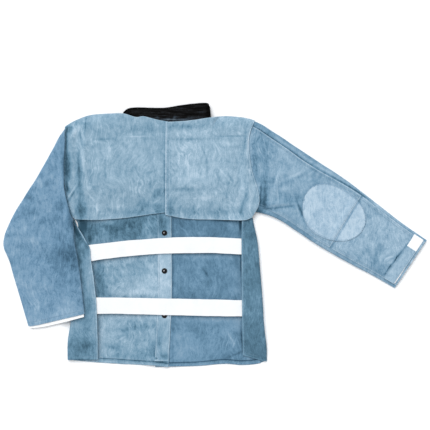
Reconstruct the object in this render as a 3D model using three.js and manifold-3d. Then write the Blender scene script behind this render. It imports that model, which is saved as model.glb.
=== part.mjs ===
// A split-leather welding jacket with an open back, lying flat with its back upward.
// Millimetres: +Z up from the floor, +Y towards the collar, +X towards the stretched-out sleeve.
// Left and right are as seen from above, and every table is read in that plan view.
import * as THREE from "three";
import { mergeVertices } from "three/addons/utils/BufferGeometryUtils.js";
import Module from "manifold-3d";

const wasm = await Module();
wasm.setup();

const { clamp, lerp, smoothstep } = THREE.MathUtils;

// A table is a string of column names, then a row of values for each place, section or fold
const table = (columns, rows) => {
  const names = columns.split(" ");
  return rows.map((row) => Object.fromEntries(names.map((name, k) => [name, row[k]])));
};

// Thicknesses and clearances
const LEATHER = 1.6;
const HALF = LEATHER / 2;
const GAP = 0.4;
const STEP = LEATHER + GAP;
const TRIM_GAP = 0.7;
const ELASTIC = 1.4;
const TAPE = 1.2;
const COLLAR_WALL = 2;
const PLAN_CENTRE = { x: 0.03, y: 0.02 };

// Front closing: the left panel laps over the right one, and both stand on the studs' outer caps
const STUD = {
  x: -147, capRadius: 7.5, cap: 1.8, post: 2.2, hole: 3, domeRadius: 8, rim: 0.9, dome: 2.6, sides: 12,
};
const STUD_ROWS = [226, 116, 6, -104, -233];
const RIGHT_RAISE = STUD.cap + GAP;
const LEFT_RAISE = RIGHT_RAISE + STEP;
const FACING_LEVEL = HALF + LEFT_RAISE + STEP;
const FACING = { width: 39, inset: 1, from: 0.02, to: 0.95 };
const RIGHT_SLOPE = { from: -122, to: -88 };
const LEFT_SLOPE = { from: -222, to: -180 };
const FRONT_ROWS = [0, 0.08, 0.16, 0.24, 0.31, 0.36, 0.39, 0.42, 0.46, 0.54, 0.64, 0.74, 0.84, 0.92];
const HEM_DEPTH = 11;
const HEM_LAP = -112;

// Levels of the upper layers, at the middle of the leather
const YOKE = {
  level: 22, seam: STEP + HALF, roll: 42, sideWidth: 0.22, leftEdge: 0.68, rightEdge: 0.84, lap: 0.05,
  lapEnd: 0.14, sag: 14, sagFrom: 0.6, sagMiddle: 0.68, sagInner: 0.3, sagSide: 0.62, sagEnd: 0.95,
};
const COLLAR_LEVEL = { front: 9.6, back: 19, drop: 48, foldDepth: 5 };
const ELASTIC_LEVEL = { end: 14.2, middle: 13.4 };

// Back neckline and shoulder line from the middle outwards, and the share of them that is neckline
const YOKE_TOP_LEFT = table("x y", [
  [-137, 328], [-165, 333], [-189, 339], [-210, 343.5], [-230, 341], [-265, 351], [-314, 351], [-363, 346],
  [-404, 332], [-434, 315],
]);
const NECK_SHARE_LEFT = 0.455;
const YOKE_TOP_RIGHT = table("x y", [
  [-143, 327], [-102, 328.5], [-59, 333], [-12, 340.5], [31, 344], [72, 341], [95, 337], [114, 331],
]);
const NECK_SHARE_RIGHT = 0.53;
const NECK_SLOPE = 0.12;

const YOKE_COLUMNS = [
  0, 0.05, 0.1, 0.2, 0.3, 0.4, 0.48, 0.55, 0.62, 0.68, 0.74, 0.79, 0.84, 0.88, 0.92, 0.96, 1,
];
const YOKE_ROWS = [0, 0.012, 0.035, 0.07, 0.12, 0.2, 0.3, 0.4, 0.5, 0.6, 0.7, 0.8, 0.9, 1];

// Free edges of the yoke: the armhole edge from the shoulder down, the lower edge from the middle out
const YOKE_ARMHOLE_LEFT = table("x y", [
  [-434, 315], [-436, 296], [-437, 246], [-439, 188], [-434, 130], [-426, 84], [-417, 60], [-406, 46],
]);
const YOKE_LOWER_LEFT = table("x y", [[-137, 67], [-189, 60], [-265, 49.5], [-340, 44], [-406, 46]]);
const YOKE_ARMHOLE_RIGHT = table("x y", [
  [114, 331], [102, 299], [96, 264], [100, 223], [107, 183], [120, 142], [128, 107], [125, 81], [108, 50],
]);
const YOKE_LOWER_RIGHT = table("x y", [
  [-145, 59], [-102, 50], [-59, 46], [31, 44], [72, 42.5], [92, 44], [108, 50],
]);

// Front panels: front neck and shoulder, closing edge, armhole and side seam, hem
const FRONT_TOP_LEFT = table("x y", [
  [-134, 262], [-190, 272], [-240, 300], [-265, 348], [-314, 348], [-363, 343], [-404, 329], [-433, 312],
]);
const CLOSING_EDGE = table("x y", [
  [-134, 262], [-130, 160], [-127, 50], [-126, -63], [-126, -179], [-131, -300], [-136, -382],
]);
const FRONT_OUTER_LEFT = table("x y", [
  [-433, 312], [-432, 246], [-434, 188], [-429, 130], [-421, 84], [-408, 50], [-398, 30], [-400, -30],
  [-401.5, -110], [-403, -190], [-404, -246], [-409, -304], [-411, -362.5],
]);
const HEM_LEFT = table("x y", [[-136, -382], [-178, -377], [-236, -374.5], [-323, -370], [-411, -362.5]]);
const FRONT_TOP_RIGHT = table("x y", [
  [-174, 258], [-130, 262], [-90, 272], [-40, 296], [-12, 338], [31, 341], [72, 338], [95, 334], [117, 325],
]);
const FRONT_INNER_RIGHT = table("x y", [[-174, 258], [-174, 50], [-174, -179], [-174, -381]]);
const FRONT_OUTER_RIGHT = table("x y", [
  [117, 325], [94, 290], [89, 246], [94, 188], [104.5, 130], [108, 90], [102, 71], [96.5, 56], [99.5, 26],
  [104, -26], [111, -96], [117, -165], [123, -258], [126.5, -319], [129, -367],
]);
const HEM_RIGHT = table("x y", [
  [-174, -381], [-102, -380], [-44, -378], [28, -372], [72, -375], [129, -367],
]);

// Side strips, a row for each section from the armpit to the hem: the sewn edge underneath,
// the fold at the side, the free edge on top, and the level of the top layer
const SIDE_LEFT = table("y seam fold edge level", [
  [46, -409, -416, -411.5, 4], [28, -402, -413, -402, 6], [5, -401, -413, -387, 11],
  [-17, -401.5, -414.5, -374, 16], [-40, -402, -415.5, -362.5, 18], [-67, -402.5, -416, -360, 18],
  [-130, -403.5, -417, -351, 18], [-188, -404.5, -417.5, -345, 18], [-246, -406, -418, -342, 18],
  [-304, -411, -426, -340.5, 16], [-361.5, -412.5, -427, -340, 12],
]);
const SIDE_RIGHT = table("y seam fold edge level", [
  [50, 98.5, 107.5, 78, 8], [26, 101, 112, 77, 14], [-26, 105.5, 122.5, 76, 18],
  [-96, 112.5, 128.5, 76.5, 18], [-165, 118.5, 134.5, 77, 18], [-258, 124.5, 140.5, 78, 18],
  [-319, 128, 147.5, 79, 16], [-364, 130.5, 149, 80, 12],
]);
const SIDE_FOLD = { depth: 6, from: 0.2, to: 0.55 };
// How much higher the free edge ends than the fold
const SIDE_RISE = { left: 1, right: 16 };

// Sleeves, a row for each section from the armhole to the cuff: both folded edges in plan, the height
// between the two layers, and how far the inner edge is lifted where it lies on the body
const SLEEVE_RIGHT = table("outerX outerY innerX innerY loft lift", [
  [121, 328, 105, 70, 14, 0], [182, 289, 155, 58, 19, 0], [242, 248, 192, 41, 20, 0],
  [300, 210, 240, 10, 20, 0], [357, 173, 285, -21, 20, 0], [423, 126, 335, -50, 19, 0],
  [478, 83, 393, -82, 17, 0], [535, 39, 450, -112, 14, 0], [613, -14, 520, -153, 9, 0],
]);
const SLEEVE_LEFT = table("outerX outerY innerX innerY loft lift", [
  [-441, 305, -411, 46, 17, 5], [-471, 246, -409, 10, 17, 15], [-509.5, 177, -407, -20, 16, 20],
  [-550, 113, -402, -48, 15, 20.5], [-589, 47, -397, -75, 15, 20.5], [-613, -22, -391, -117, 14, 20.5],
  [-597, -74, -387, -150, 14, 20.5], [-579, -135, -383, -185, 13, 20.5], [-560, -200, -380, -210, 12, 20.5],
  [-540, -267, -378, -227.5, 12, 20.5],
]);
const ARMHOLE_RIGHT = table("dx", [[0], [-22], [-25], [-17], [-2], [5], [0]]);
const ARMHOLE_LEFT = table("dx", [[0], [-3], [-9], [-12], [-11], [-6], [0]]);
const ARMHOLE_FADE = 0.2;
const LIFT_SLOPE = { from: -458, to: -421 };
const FULLNESS = { top: 2.2, under: 5 };

// Seams and trims of the sleeves, as shares t of their length and w of their width
const ELBOW = { t: 0.636, skew: -0.02 };
const SEAM_SHARE = 0.0005;
const CUFF_STEP = 0.002;
const CUFF_CURVE = 0.027;
const SEAM_OUTER = table("w", [[0.05], [0.08], [0.1], [0.1], [0.08], [0.05], [0.05], [0.05], [0.05]]);
const SEAM_INNER = 0.945;
const SEAM_LEFT = 0.08;
const SEAM_GAP = 0.006;
const PATCH = {
  t: 0.542, w: 0.51, halfLength: 0.178, halfWidth: 0.362, skew: -0.31, roundness: 2.5, tip: 1.5,
};
const CUFF = {
  from: 0.941, to: 0.983, sliver: 0.005, flare: 0.012, tape: [0.035, 0.93], tab: [0.272, 0.945],
};
const TAPE_LEFT = { from: 0.025, to: 0.972, inside: 14, outside: 8, under: 4.5 };

// Elastic bands, from the left end under the strip to the right one
const ELASTIC_UPPER = table("x top bottom", [
  [-375, -31, -78], [-323, -24, -69.5], [-265, -17.5, -62.5], [-178, -10.5, -55], [-91, -6.5, -52.5],
  [-4, -7, -52], [89, -11, -56.5],
]);
const ELASTIC_LOWER = table("x top bottom", [
  [-357, -180.5, -228], [-265, -181.5, -228], [-149, -184, -231], [-30, -186, -234], [92, -189, -235.5],
]);

// Collar: upper and lower edges of its back layer, from the left fold to the right one
const COLLAR = table("x top bottom", [
  [-268, 351, 340], [-262, 359, 335], [-250, 366.5, 330], [-228, 369, 327], [-189, 368, 326],
  [-146, 368, 319], [-102, 375, 320], [-59, 380, 325], [-33, 382, 329], [-22, 381, 330], [-14.5, 376, 331],
]);
const COLLAR_ROUND = { share: 0.47, width: 0.012, frontShare: 0.32, foldShare: 0.06 };

// Folds and dents: a line in plan, the width of its roll and its height, below zero for a valley
const YOKE_FOLDS = table("x0 y0 x1 y1 width height", [
  [-417, 300, -420, 140, 9, 3.5], [-398, 306, -396, 180, 8, -2.5], [-380, 310, -382, 140, 11, 3],
  [-424, 132, -404, 84, 9, -2], [-368, 120, -346, 76, 10, -2], [62, 220, 76, 60, 10, -2.5],
  [84, 250, 102, 70, 10, 2.5], [-210, 270, -150, 262, 14, 1.5],
]);
const SLEEVE_FOLDS = table("x0 y0 x1 y1 width height", [
  [145, 88, 212, 92, 9, 3], [145, 74, 205, 74, 6, -2.5], [170, 150, 225, 96, 10, -2],
  [196, 190, 240, 120, 12, 2], [-570, 20, -480, -40, 16, 2.5], [-560, -40, -470, -80, 12, -2],
]);

const COLORS = {
  yoke: 0x97b5ca, sleeve: 0x87a8bf, forearm: 0x96b4ca, patch: 0xabc7dc, front: 0x86a9bf, inner: 0x6890ad,
  strip: 0x7ba0b8, facing: 0x9ebdd3, collar: 0x15171a, stud: 0x17181a,
};

// The smooth value at share f between two rows, steered by the rows before and after them
function smoothBetween(before, here, next, after, f) {
  const slope = (next - before) / 2;
  const nextSlope = (after - here) / 2;
  const drop = here - next;
  const square = -3 * drop - 2 * slope - nextSlope;
  const cube = 2 * drop + slope + nextSlope;
  return here + slope * f + square * f ** 2 + cube * f ** 3;
}

// All the columns of a table at t, from 0 at its first row to 1 at its last
function rowAt(rows, t) {
  const last = rows.length - 1;
  const place = clamp(t, 0, 1) * last;
  const index = Math.min(Math.floor(place), last - 1);
  const at = (k, name) => rows[clamp(index + k, 0, last)][name];
  const value = (name) => smoothBetween(at(-1, name), at(0, name), at(1, name), at(2, name), place - index);
  return Object.fromEntries(Object.keys(rows[0]).map((name) => [name, value(name)]));
}

// Height that a table of folds adds at a place in plan
function foldHeight(folds, x, y) {
  let sum = 0;
  for (const fold of folds) {
    const along = new THREE.Vector2(fold.x1 - fold.x0, fold.y1 - fold.y0);
    const length = along.length();
    along.divideScalar(length);
    const from = new THREE.Vector2(x - fold.x0, y - fold.y0);
    const share = from.dot(along) / length;
    const aside = from.cross(along) / fold.width;
    const ends = smoothstep(share, -0.25, 0.2) * (1 - smoothstep(share, 0.8, 1.25));
    sum += fold.height * ends * Math.exp(-aside * aside);
  }
  return sum;
}

const edge = (rows) => new THREE.SplineCurve(rows.map(({ x, y }) => new THREE.Vector2(x, y)));

// The plan inside four edges: u runs along top and bottom, v down the inner and the outer edge
function panelPlan(topRows, bottomRows, innerRows, outerRows) {
  const [top, bottom, inner, outer] = [topRows, bottomRows, innerRows, outerRows].map(edge);
  const corners = [top.getPoint(0), top.getPoint(1), bottom.getPoint(0), bottom.getPoint(1)];
  return (u, v) => {
    const across = top.getPointAt(u).lerp(bottom.getPointAt(u), v);
    const down = inner.getPointAt(v).lerp(outer.getPointAt(v), u);
    const upper = corners[0].clone().lerp(corners[1], u);
    const lower = corners[2].clone().lerp(corners[3], u);
    return across.add(down).sub(upper.lerp(lower, v));
  };
}

const even = (count) => Array.from({ length: count + 1 }, (_, k) => k / count);

// Turns every face of a closed geometry outwards
function facingOut(geometry) {
  const position = geometry.getAttribute("position");
  const index = geometry.getIndex().array;
  const corner = (k) => new THREE.Vector3().fromBufferAttribute(position, index[k]);
  let volume = 0;
  for (let k = 0; k < index.length; k += 3) {
    volume += corner(k).dot(corner(k + 1).cross(corner(k + 2)));
  }
  if (volume < 0) {
    geometry.setIndex(Array.from(index).reverse());
  }
  return geometry;
}

// A closed wall about the middle surface point(u, v); over(u, v) and under are its depths to either side
function wall(point, us, vs, over = () => HALF, under = HALF) {
  const nudge = 1e-3;
  const cross = (u, v) => {
    const along = point(Math.min(u + nudge, 1), v).sub(point(Math.max(u - nudge, 0), v));
    const across = point(u, Math.min(v + nudge, 1)).sub(point(u, Math.max(v - nudge, 0)));
    return along.cross(across).normalize();
  };
  const upward = cross(0.5, 0.5).z < 0 ? -1 : 1;
  const positions = [];
  for (const upper of [true, false]) {
    for (const u of us) {
      for (const v of vs) {
        const offset = upward * (upper ? over(u, v) : -under);
        positions.push(...point(u, v).addScaledVector(cross(u, v), offset).toArray());
      }
    }
  }
  const columns = vs.length;
  const layer = us.length * columns;
  const index = [];
  const quad = (a, b, c, d) => index.push(a, b, c, a, c, d);
  for (let i = 0; i + 1 < us.length; i += 1) {
    for (let j = 0; j + 1 < columns; j += 1) {
      const a = i * columns + j;
      quad(a, a + columns, a + columns + 1, a + 1);
      quad(layer + a, layer + a + 1, layer + a + columns + 1, layer + a + columns);
    }
    const start = i * columns;
    const end = start + columns - 1;
    quad(start, layer + start, layer + start + columns, start + columns);
    quad(end, end + columns, layer + end + columns, layer + end);
  }
  for (let j = 0; j + 1 < columns; j += 1) {
    const far = layer - columns + j;
    quad(j, j + 1, layer + j + 1, layer + j);
    quad(far, layer + far, layer + far + 1, far + 1);
  }
  const geometry = new THREE.BufferGeometry();
  geometry.setAttribute("position", new THREE.Float32BufferAttribute(positions, 3));
  geometry.setIndex(index);
  return facingOut(geometry);
}

function toSolid(geometry) {
  const bare = geometry.clone();
  bare.deleteAttribute("normal");
  bare.deleteAttribute("uv");
  const merged = facingOut(mergeVertices(bare));
  const vertProperties = new Float32Array(merged.getAttribute("position").array);
  const triVerts = new Uint32Array(merged.getIndex().array);
  return new wasm.Manifold(new wasm.Mesh({ numProp: 3, vertProperties, triVerts }));
}

function toGeometry(solid) {
  const mesh = solid.getMesh();
  const geometry = new THREE.BufferGeometry();
  geometry.setAttribute("position", new THREE.Float32BufferAttribute(mesh.vertProperties, 3));
  geometry.setIndex(Array.from(mesh.triVerts));
  return geometry;
}

// Cuts the holes of the press studs through a panel
function drilled(geometry) {
  let solid = toSolid(geometry);
  for (const y of STUD_ROWS) {
    const drill = new THREE.CylinderGeometry(STUD.hole, STUD.hole, 2 * YOKE.level, STUD.sides);
    drill.rotateX(Math.PI / 2).translate(STUD.x, y, 0);
    solid = solid.subtract(toSolid(drill));
  }
  return toGeometry(solid);
}

const jacket = new THREE.Group();
jacket.position.set(-PLAN_CENTRE.x, -PLAN_CENTRE.y, 0);

function addPiece(name, geometry, color, roughness, metalness = 0) {
  const mesh = new THREE.Mesh(geometry, new THREE.MeshStandardMaterial({ color, roughness, metalness }));
  mesh.name = name;
  jacket.add(mesh);
}

const addLeather = (name, geometry, color) => addPiece(name, geometry, color, 0.95);
const addWhite = (name, geometry) => addPiece(name, geometry, 0xf2f3f4, 0.9);

// A front panel, flat on the floor but for its closing edge, with the hem turned up on the inside
function frontPanel(plan, raise, us, hemFrom) {
  const length = plan(0.5, 0).distanceTo(plan(0.5, 1));
  const turnUp = 1 - HEM_DEPTH / length;
  const point = (u, v) => {
    const { x, y } = plan(u, v);
    return new THREE.Vector3(x, y, HALF + raise(x));
  };
  const over = (u, v) => (v >= turnUp && hemFrom(plan(u, v).x) ? HALF + LEATHER : HALF);
  const vs = [...FRONT_ROWS, turnUp - 1 / length, turnUp, 1];
  return drilled(wall(point, us, vs, over));
}

function addFronts() {
  const leftPlan = panelPlan(FRONT_TOP_LEFT, HEM_LEFT, CLOSING_EDGE, FRONT_OUTER_LEFT);
  const leftRaise = (x) => LEFT_RAISE * smoothstep(x, LEFT_SLOPE.from, LEFT_SLOPE.to);
  const leftStations = [0, 0.08, 0.16, 0.2, 0.25, 0.31, 0.45, 0.6, 0.8, 1];
  addLeather("front_left", frontPanel(leftPlan, leftRaise, leftStations, () => true), COLORS.front);

  const rightPlan = panelPlan(FRONT_TOP_RIGHT, HEM_RIGHT, FRONT_INNER_RIGHT, FRONT_OUTER_RIGHT);
  const rightRaise = (x) => RIGHT_RAISE * (1 - smoothstep(x, RIGHT_SLOPE.from, RIGHT_SLOPE.to));
  const rightStations = [0, 0.08, 0.16, 0.2, 0.24, 0.29, 0.45, 0.6, 0.8, 1];
  const clearOfLap = (x) => x > HEM_LAP;
  addLeather("front_right", frontPanel(rightPlan, rightRaise, rightStations, clearOfLap), COLORS.inner);

  const facing = (u, v) => {
    const { x, y } = rowAt(CLOSING_EDGE, lerp(FACING.from, FACING.to, v));
    return new THREE.Vector3(x - FACING.inset - u * FACING.width, y, FACING_LEVEL);
  };
  addLeather("front_facing", drilled(wall(facing, even(2), even(10))), COLORS.facing);
}

// A press stud: outer cap under both panels, post through their holes, domed cap inside
function addStuds() {
  const seat = FACING_LEVEL + HALF + GAP;
  const profile = [
    [0, 0], [STUD.capRadius - 1, 0], [STUD.capRadius, STUD.cap / 2], [STUD.capRadius, STUD.cap],
    [STUD.post, STUD.cap], [STUD.post, seat], [STUD.domeRadius, seat], [STUD.domeRadius, seat + STUD.rim],
    [0.8 * STUD.domeRadius, seat + 0.75 * STUD.dome], [0.4 * STUD.domeRadius, seat + STUD.dome],
    [0, seat + STUD.dome],
  ].map(([radius, height]) => new THREE.Vector2(radius, height));
  STUD_ROWS.forEach((y, k) => {
    const geometry = new THREE.LatheGeometry(profile, STUD.sides);
    geometry.rotateX(Math.PI / 2).translate(STUD.x, y, 0);
    addPiece(`snap_${k + 1}`, toGeometry(toSolid(geometry)), COLORS.stud, 0.35, 0.6);
  });
}

// A side strip: from its sewn edge on the underside, round the fold, to its free edge on top
function sideStrip(rows, rise) {
  const point = (u, v) => {
    const row = rowAt(rows, u);
    const inward = Math.sign(row.edge - row.fold);
    const bend = row.fold + inward * SIDE_FOLD.depth;
    const turn = Math.PI * clamp((v - SIDE_FOLD.from) / (SIDE_FOLD.to - SIDE_FOLD.from), 0, 1);
    let x = bend - inward * SIDE_FOLD.depth * Math.sin(turn);
    if (v < SIDE_FOLD.from) {
      x = lerp(row.seam, bend, v / SIDE_FOLD.from);
    }
    if (v > SIDE_FOLD.to) {
      x = lerp(bend, row.edge, (v - SIDE_FOLD.to) / (1 - SIDE_FOLD.to));
    }
    const y = row.y + rise * u * clamp((v - SIDE_FOLD.to) / (1 - SIDE_FOLD.to), 0, 1);
    return new THREE.Vector3(x, y, lerp(HALF, row.level, (1 - Math.cos(turn)) / 2));
  };
  const { from, to } = SIDE_FOLD;
  const round = even(5).map((f) => lerp(from, to, f));
  const top = even(3).slice(1).map((f) => lerp(to, 1, f));
  return wall(point, even(12), [0, from / 2, ...round, ...top]);
}

// Half of the yoke: low at the shoulder seam, high at the neckline and over the open back
function yokeHalf(top, lower, armhole, neckShare, sideLevel, lap) {
  const plan = panelPlan(top, lower, [top[0], lower[0]], armhole);
  const point = (u, v) => {
    const { x, y } = plan(u, v);
    const depth = plan(u, 0).distanceTo(plan(u, v));
    const rise = Math.sqrt(1 - (1 - Math.min(depth / YOKE.roll, 1)) ** 2);
    const neck = 1 - smoothstep(u, neckShare, neckShare + NECK_SLOPE);
    const side = lerp(1, sideLevel, smoothstep(u, 1 - YOKE.sideWidth, 1));
    const level = lerp(YOKE.seam, YOKE.level * side, Math.max(rise, neck));
    const lapped = lap * (1 - smoothstep(u, YOKE.lap, YOKE.lapEnd));
    const inner = lerp(YOKE.sagMiddle, 1, smoothstep(u, YOKE.lap, YOKE.sagInner));
    const outer = 1 - smoothstep(u, YOKE.sagSide, YOKE.sagEnd);
    const sag = YOKE.sag * inner * outer * smoothstep(v, YOKE.sagFrom, 1);
    const folds = foldHeight(YOKE_FOLDS, x, y) * rise * (1 - neck * (1 - v));
    return new THREE.Vector3(x, y, level + lapped - sag + folds);
  };
  return wall(point, YOKE_COLUMNS, YOKE_ROWS);
}

function addYoke() {
  const left = yokeHalf(
    YOKE_TOP_LEFT, YOKE_LOWER_LEFT, YOKE_ARMHOLE_LEFT, NECK_SHARE_LEFT, YOKE.leftEdge, 0,
  );
  addLeather("yoke_left", left, COLORS.yoke);
  const right = yokeHalf(
    YOKE_TOP_RIGHT, YOKE_LOWER_RIGHT, YOKE_ARMHOLE_RIGHT, NECK_SHARE_RIGHT, YOKE.rightEdge, STEP,
  );
  addLeather("yoke_right", right, COLORS.yoke);
}

// A flattened sleeve: its middle surface at share t along it, and turned from the inner edge (0) over
// the top to the outer edge (half a turn) and on underneath
function sleeveSurface(rows, armhole) {
  return (t, turn) => {
    const row = rowAt(rows, t);
    const w = 0.5 + 0.5 * Math.cos(turn);
    const side = Math.sin(turn);
    const power = side > 0 ? FULLNESS.top : FULLNESS.under;
    const full = Math.sign(side) * (1 - (1 - Math.abs(side)) ** power);
    const bulge = rowAt(armhole, w).dx * (1 - smoothstep(t, 0, ARMHOLE_FADE));
    const x = lerp(row.outerX, row.innerX, w) + bulge;
    const y = lerp(row.outerY, row.innerY, w);
    const lift = row.lift * smoothstep(x, LIFT_SLOPE.from, LIFT_SLOPE.to);
    const folds = foldHeight(SLEEVE_FOLDS, x, y) * Math.max(side, 0);
    return new THREE.Vector3(x, y, HALF + lift + row.loft * (0.5 + 0.5 * full) + folds);
  };
}

const turnAt = (w) => Math.acos(2 * w - 1);

const shareAt = (turn) => 0.5 + 0.5 * Math.cos(turn);
const elbowAt = (w) => ELBOW.t + ELBOW.skew * w;

// A panel of a sleeve between two lengths, each worked out at share w of the width, and two turns
function sleevePanel(surface, [from, to], startTurn, endTurn, us, vs) {
  const point = (u, v) => {
    const w = lerp(shareAt(startTurn(u)), shareAt(endTurn(u)), v);
    const t = lerp(from(w), to(w), u);
    return surface(t, lerp(startTurn(t), endTurn(t), v));
  };
  return wall(point, us, vs);
}

function addRightSleeve() {
  const surface = sleeveSurface(SLEEVE_RIGHT, ARMHOLE_RIGHT);
  const outer = (t) => rowAt(SEAM_OUTER, t).w;
  const topStart = () => turnAt(SEAM_INNER - SEAM_GAP / 2);
  const topEnd = (t) => turnAt(outer(t) + SEAM_GAP / 2);
  const underStart = (t) => turnAt(outer(t) - SEAM_GAP / 2);
  const underEnd = () => 2 * Math.PI + turnAt(SEAM_INNER + SEAM_GAP / 2);
  const upperArm = [() => 0, (w) => elbowAt(w) - SEAM_SHARE];
  const upper = sleevePanel(surface, upperArm, topStart, topEnd, even(12), even(10));
  const lowerArm = [(w) => elbowAt(w) + SEAM_SHARE, () => 1 - CUFF_STEP];
  const forearm = sleevePanel(surface, lowerArm, topStart, topEnd, even(6), even(10));
  const under = sleevePanel(surface, [() => 0, () => 1], underStart, underEnd, even(12), even(18));
  addLeather("sleeve_right_upper", upper, COLORS.sleeve);
  addLeather("sleeve_right_forearm", forearm, COLORS.forearm);
  addLeather("sleeve_right_under", under, COLORS.sleeve);

  const onTop = (t, w, height) => surface(t, turnAt(w)).add(new THREE.Vector3(0, 0, height));
  const patchPoint = (tip, shift) => (u, v) => {
    const seam = elbowAt(PATCH.w + 0.9 * PATCH.halfWidth * (2 * v - 1)) + shift;
    const s = Math.sin(lerp(tip, Math.asin((seam - PATCH.t) / PATCH.halfLength), u));
    const halfWidth = PATCH.halfWidth * (1 - Math.abs(s) ** PATCH.roundness) ** (1 / PATCH.roundness);
    const away = PATCH.halfLength * s;
    const w = PATCH.w + PATCH.skew * away + halfWidth * (2 * v - 1);
    return onTop(PATCH.t + away, w, LEATHER + TRIM_GAP);
  };
  const patchUpper = wall(patchPoint(-PATCH.tip, -SEAM_SHARE), even(8), even(6));
  const patchLower = wall(patchPoint(PATCH.tip, SEAM_SHARE), even(5), even(6));
  addLeather("elbow_patch_upper", patchUpper, COLORS.patch);
  addLeather("elbow_patch_lower", patchLower, COLORS.patch);

  const tapeHeight = HALF + TRIM_GAP + TAPE / 2;
  const tape = (u, v) => onTop(lerp(CUFF.from, CUFF.to, u), lerp(...CUFF.tape, v), tapeHeight);
  addWhite("cuff_tape_right", wall(tape, even(2), even(12), () => TAPE / 2, TAPE / 2));
  const tabHeight = tapeHeight + TAPE / 2 + TRIM_GAP + HALF;
  const tabEnd = (v) => CUFF.to - CUFF.sliver * smoothstep(v, 0.3, 0.8);
  const tabStart = (v) => CUFF.from - CUFF.flare * v;
  const tab = (u, v) => onTop(lerp(tabStart(v), tabEnd(v), u), lerp(...CUFF.tab, v), tabHeight);
  addLeather("cuff_tab_right", wall(tab, even(2), even(10)), COLORS.forearm);
}

function addLeftSleeve() {
  const surface = sleeveSurface(SLEEVE_LEFT, ARMHOLE_LEFT);
  const seam = (share) => turnAt(1 - share);
  const frontStart = () => -seam(SEAM_LEFT - SEAM_GAP / 2);
  const frontEnd = () => Math.PI + seam(SEAM_LEFT - SEAM_GAP / 2);
  const backStart = () => Math.PI + seam(SEAM_LEFT + SEAM_GAP / 2);
  const backEnd = () => 2 * Math.PI - seam(SEAM_LEFT + SEAM_GAP / 2);
  const curvedEnd = (w) => 1 - CUFF_CURVE * (2 * w - 1) ** 2;
  const whole = [() => 0, curvedEnd];
  const front = sleevePanel(surface, whole, frontStart, frontEnd, even(14), even(18));
  const back = sleevePanel(surface, whole, backStart, backEnd, even(14), even(8));
  addLeather("sleeve_left_front", front, COLORS.sleeve);
  addLeather("sleeve_left_back", back, COLORS.sleeve);

  const tape = (u, v) => {
    const w = lerp(TAPE_LEFT.from, TAPE_LEFT.to, v);
    const over = surface(curvedEnd(lerp(SEAM_LEFT, 1 - SEAM_LEFT, w)), turnAt(w));
    const shift = lerp(TAPE_LEFT.inside, -TAPE_LEFT.outside, u);
    return over.add(new THREE.Vector3(0, shift, -TAPE_LEFT.under));
  };
  addWhite("cuff_tape_left", wall(tape, even(2), even(16), () => TAPE / 2, TAPE / 2));
}

function addElastic(name, rows) {
  const point = (u, v) => {
    const row = rowAt(rows, u);
    const level = lerp(ELASTIC_LEVEL.end, ELASTIC_LEVEL.middle, Math.sin(Math.PI * u));
    return new THREE.Vector3(row.x, lerp(row.top, row.bottom, v), level);
  };
  addWhite(name, wall(point, even(16), even(2), () => ELASTIC / 2, ELASTIC / 2));
}

// The collar: one band from its parting at the front, round the left fold, over the back, round the
// right fold and back to the parting; the front layer hangs lower than the back one
function addCollar() {
  const { front, back, drop, foldDepth } = COLLAR_LEVEL;
  const { share, width, frontShare, foldShare } = COLLAR_ROUND;
  const leftFold = frontShare + foldShare;
  const rightFold = 1 - leftFold;
  const place = (u) => {
    if (u < frontShare) {
      return { across: lerp(share - width, 0, u / frontShare), turn: 0 };
    }
    if (u > 1 - frontShare) {
      return { across: lerp(share + width, 1, (1 - u) / frontShare), turn: 0 };
    }
    const turn = Math.min((u - frontShare) / foldShare, (1 - frontShare - u) / foldShare, 1);
    return { across: clamp((u - leftFold) / (rightFold - leftFold), 0, 1), turn };
  };
  const point = (u, v) => {
    const { across, turn } = place(u);
    const row = rowAt(COLLAR, across);
    const hang = drop * Math.sin(Math.PI * across) * (1 - turn);
    const inward = foldDepth * (1 - Math.sin(Math.PI * Math.min(turn, 1)));
    const nearFold = (1 - smoothstep(across, 0, foldShare)) - smoothstep(across, 1 - foldShare, 1);
    const level = lerp(front, back, (1 - Math.cos(Math.PI * turn)) / 2);
    return new THREE.Vector3(row.x + inward * nearFold, lerp(row.top, row.bottom, v) - hang, level);
  };
  const marks = [[0, frontShare, 5], [frontShare, leftFold, 6], [leftFold, rightFold, 16],
    [rightFold, 1 - frontShare, 6], [1 - frontShare, 1, 5]];
  const stations = marks.flatMap(([from, to, count]) => even(count).slice(1).map((f) => lerp(from, to, f)));
  const half = COLLAR_WALL / 2;
  const band = wall(point, [0, ...stations], even(3), () => half, half);
  addPiece("collar", band, COLORS.collar, 0.9);
}

addFronts();
addStuds();
addLeather("side_left", sideStrip(SIDE_LEFT, SIDE_RISE.left), COLORS.strip);
addLeather("side_right", sideStrip(SIDE_RIGHT, SIDE_RISE.right), COLORS.strip);
addYoke();
addCollar();
addRightSleeve();
addLeftSleeve();
addElastic("elastic_upper", ELASTIC_UPPER);
addElastic("elastic_lower", ELASTIC_LOWER);

export default jacket;
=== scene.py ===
from types import SimpleNamespace as Values

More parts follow.
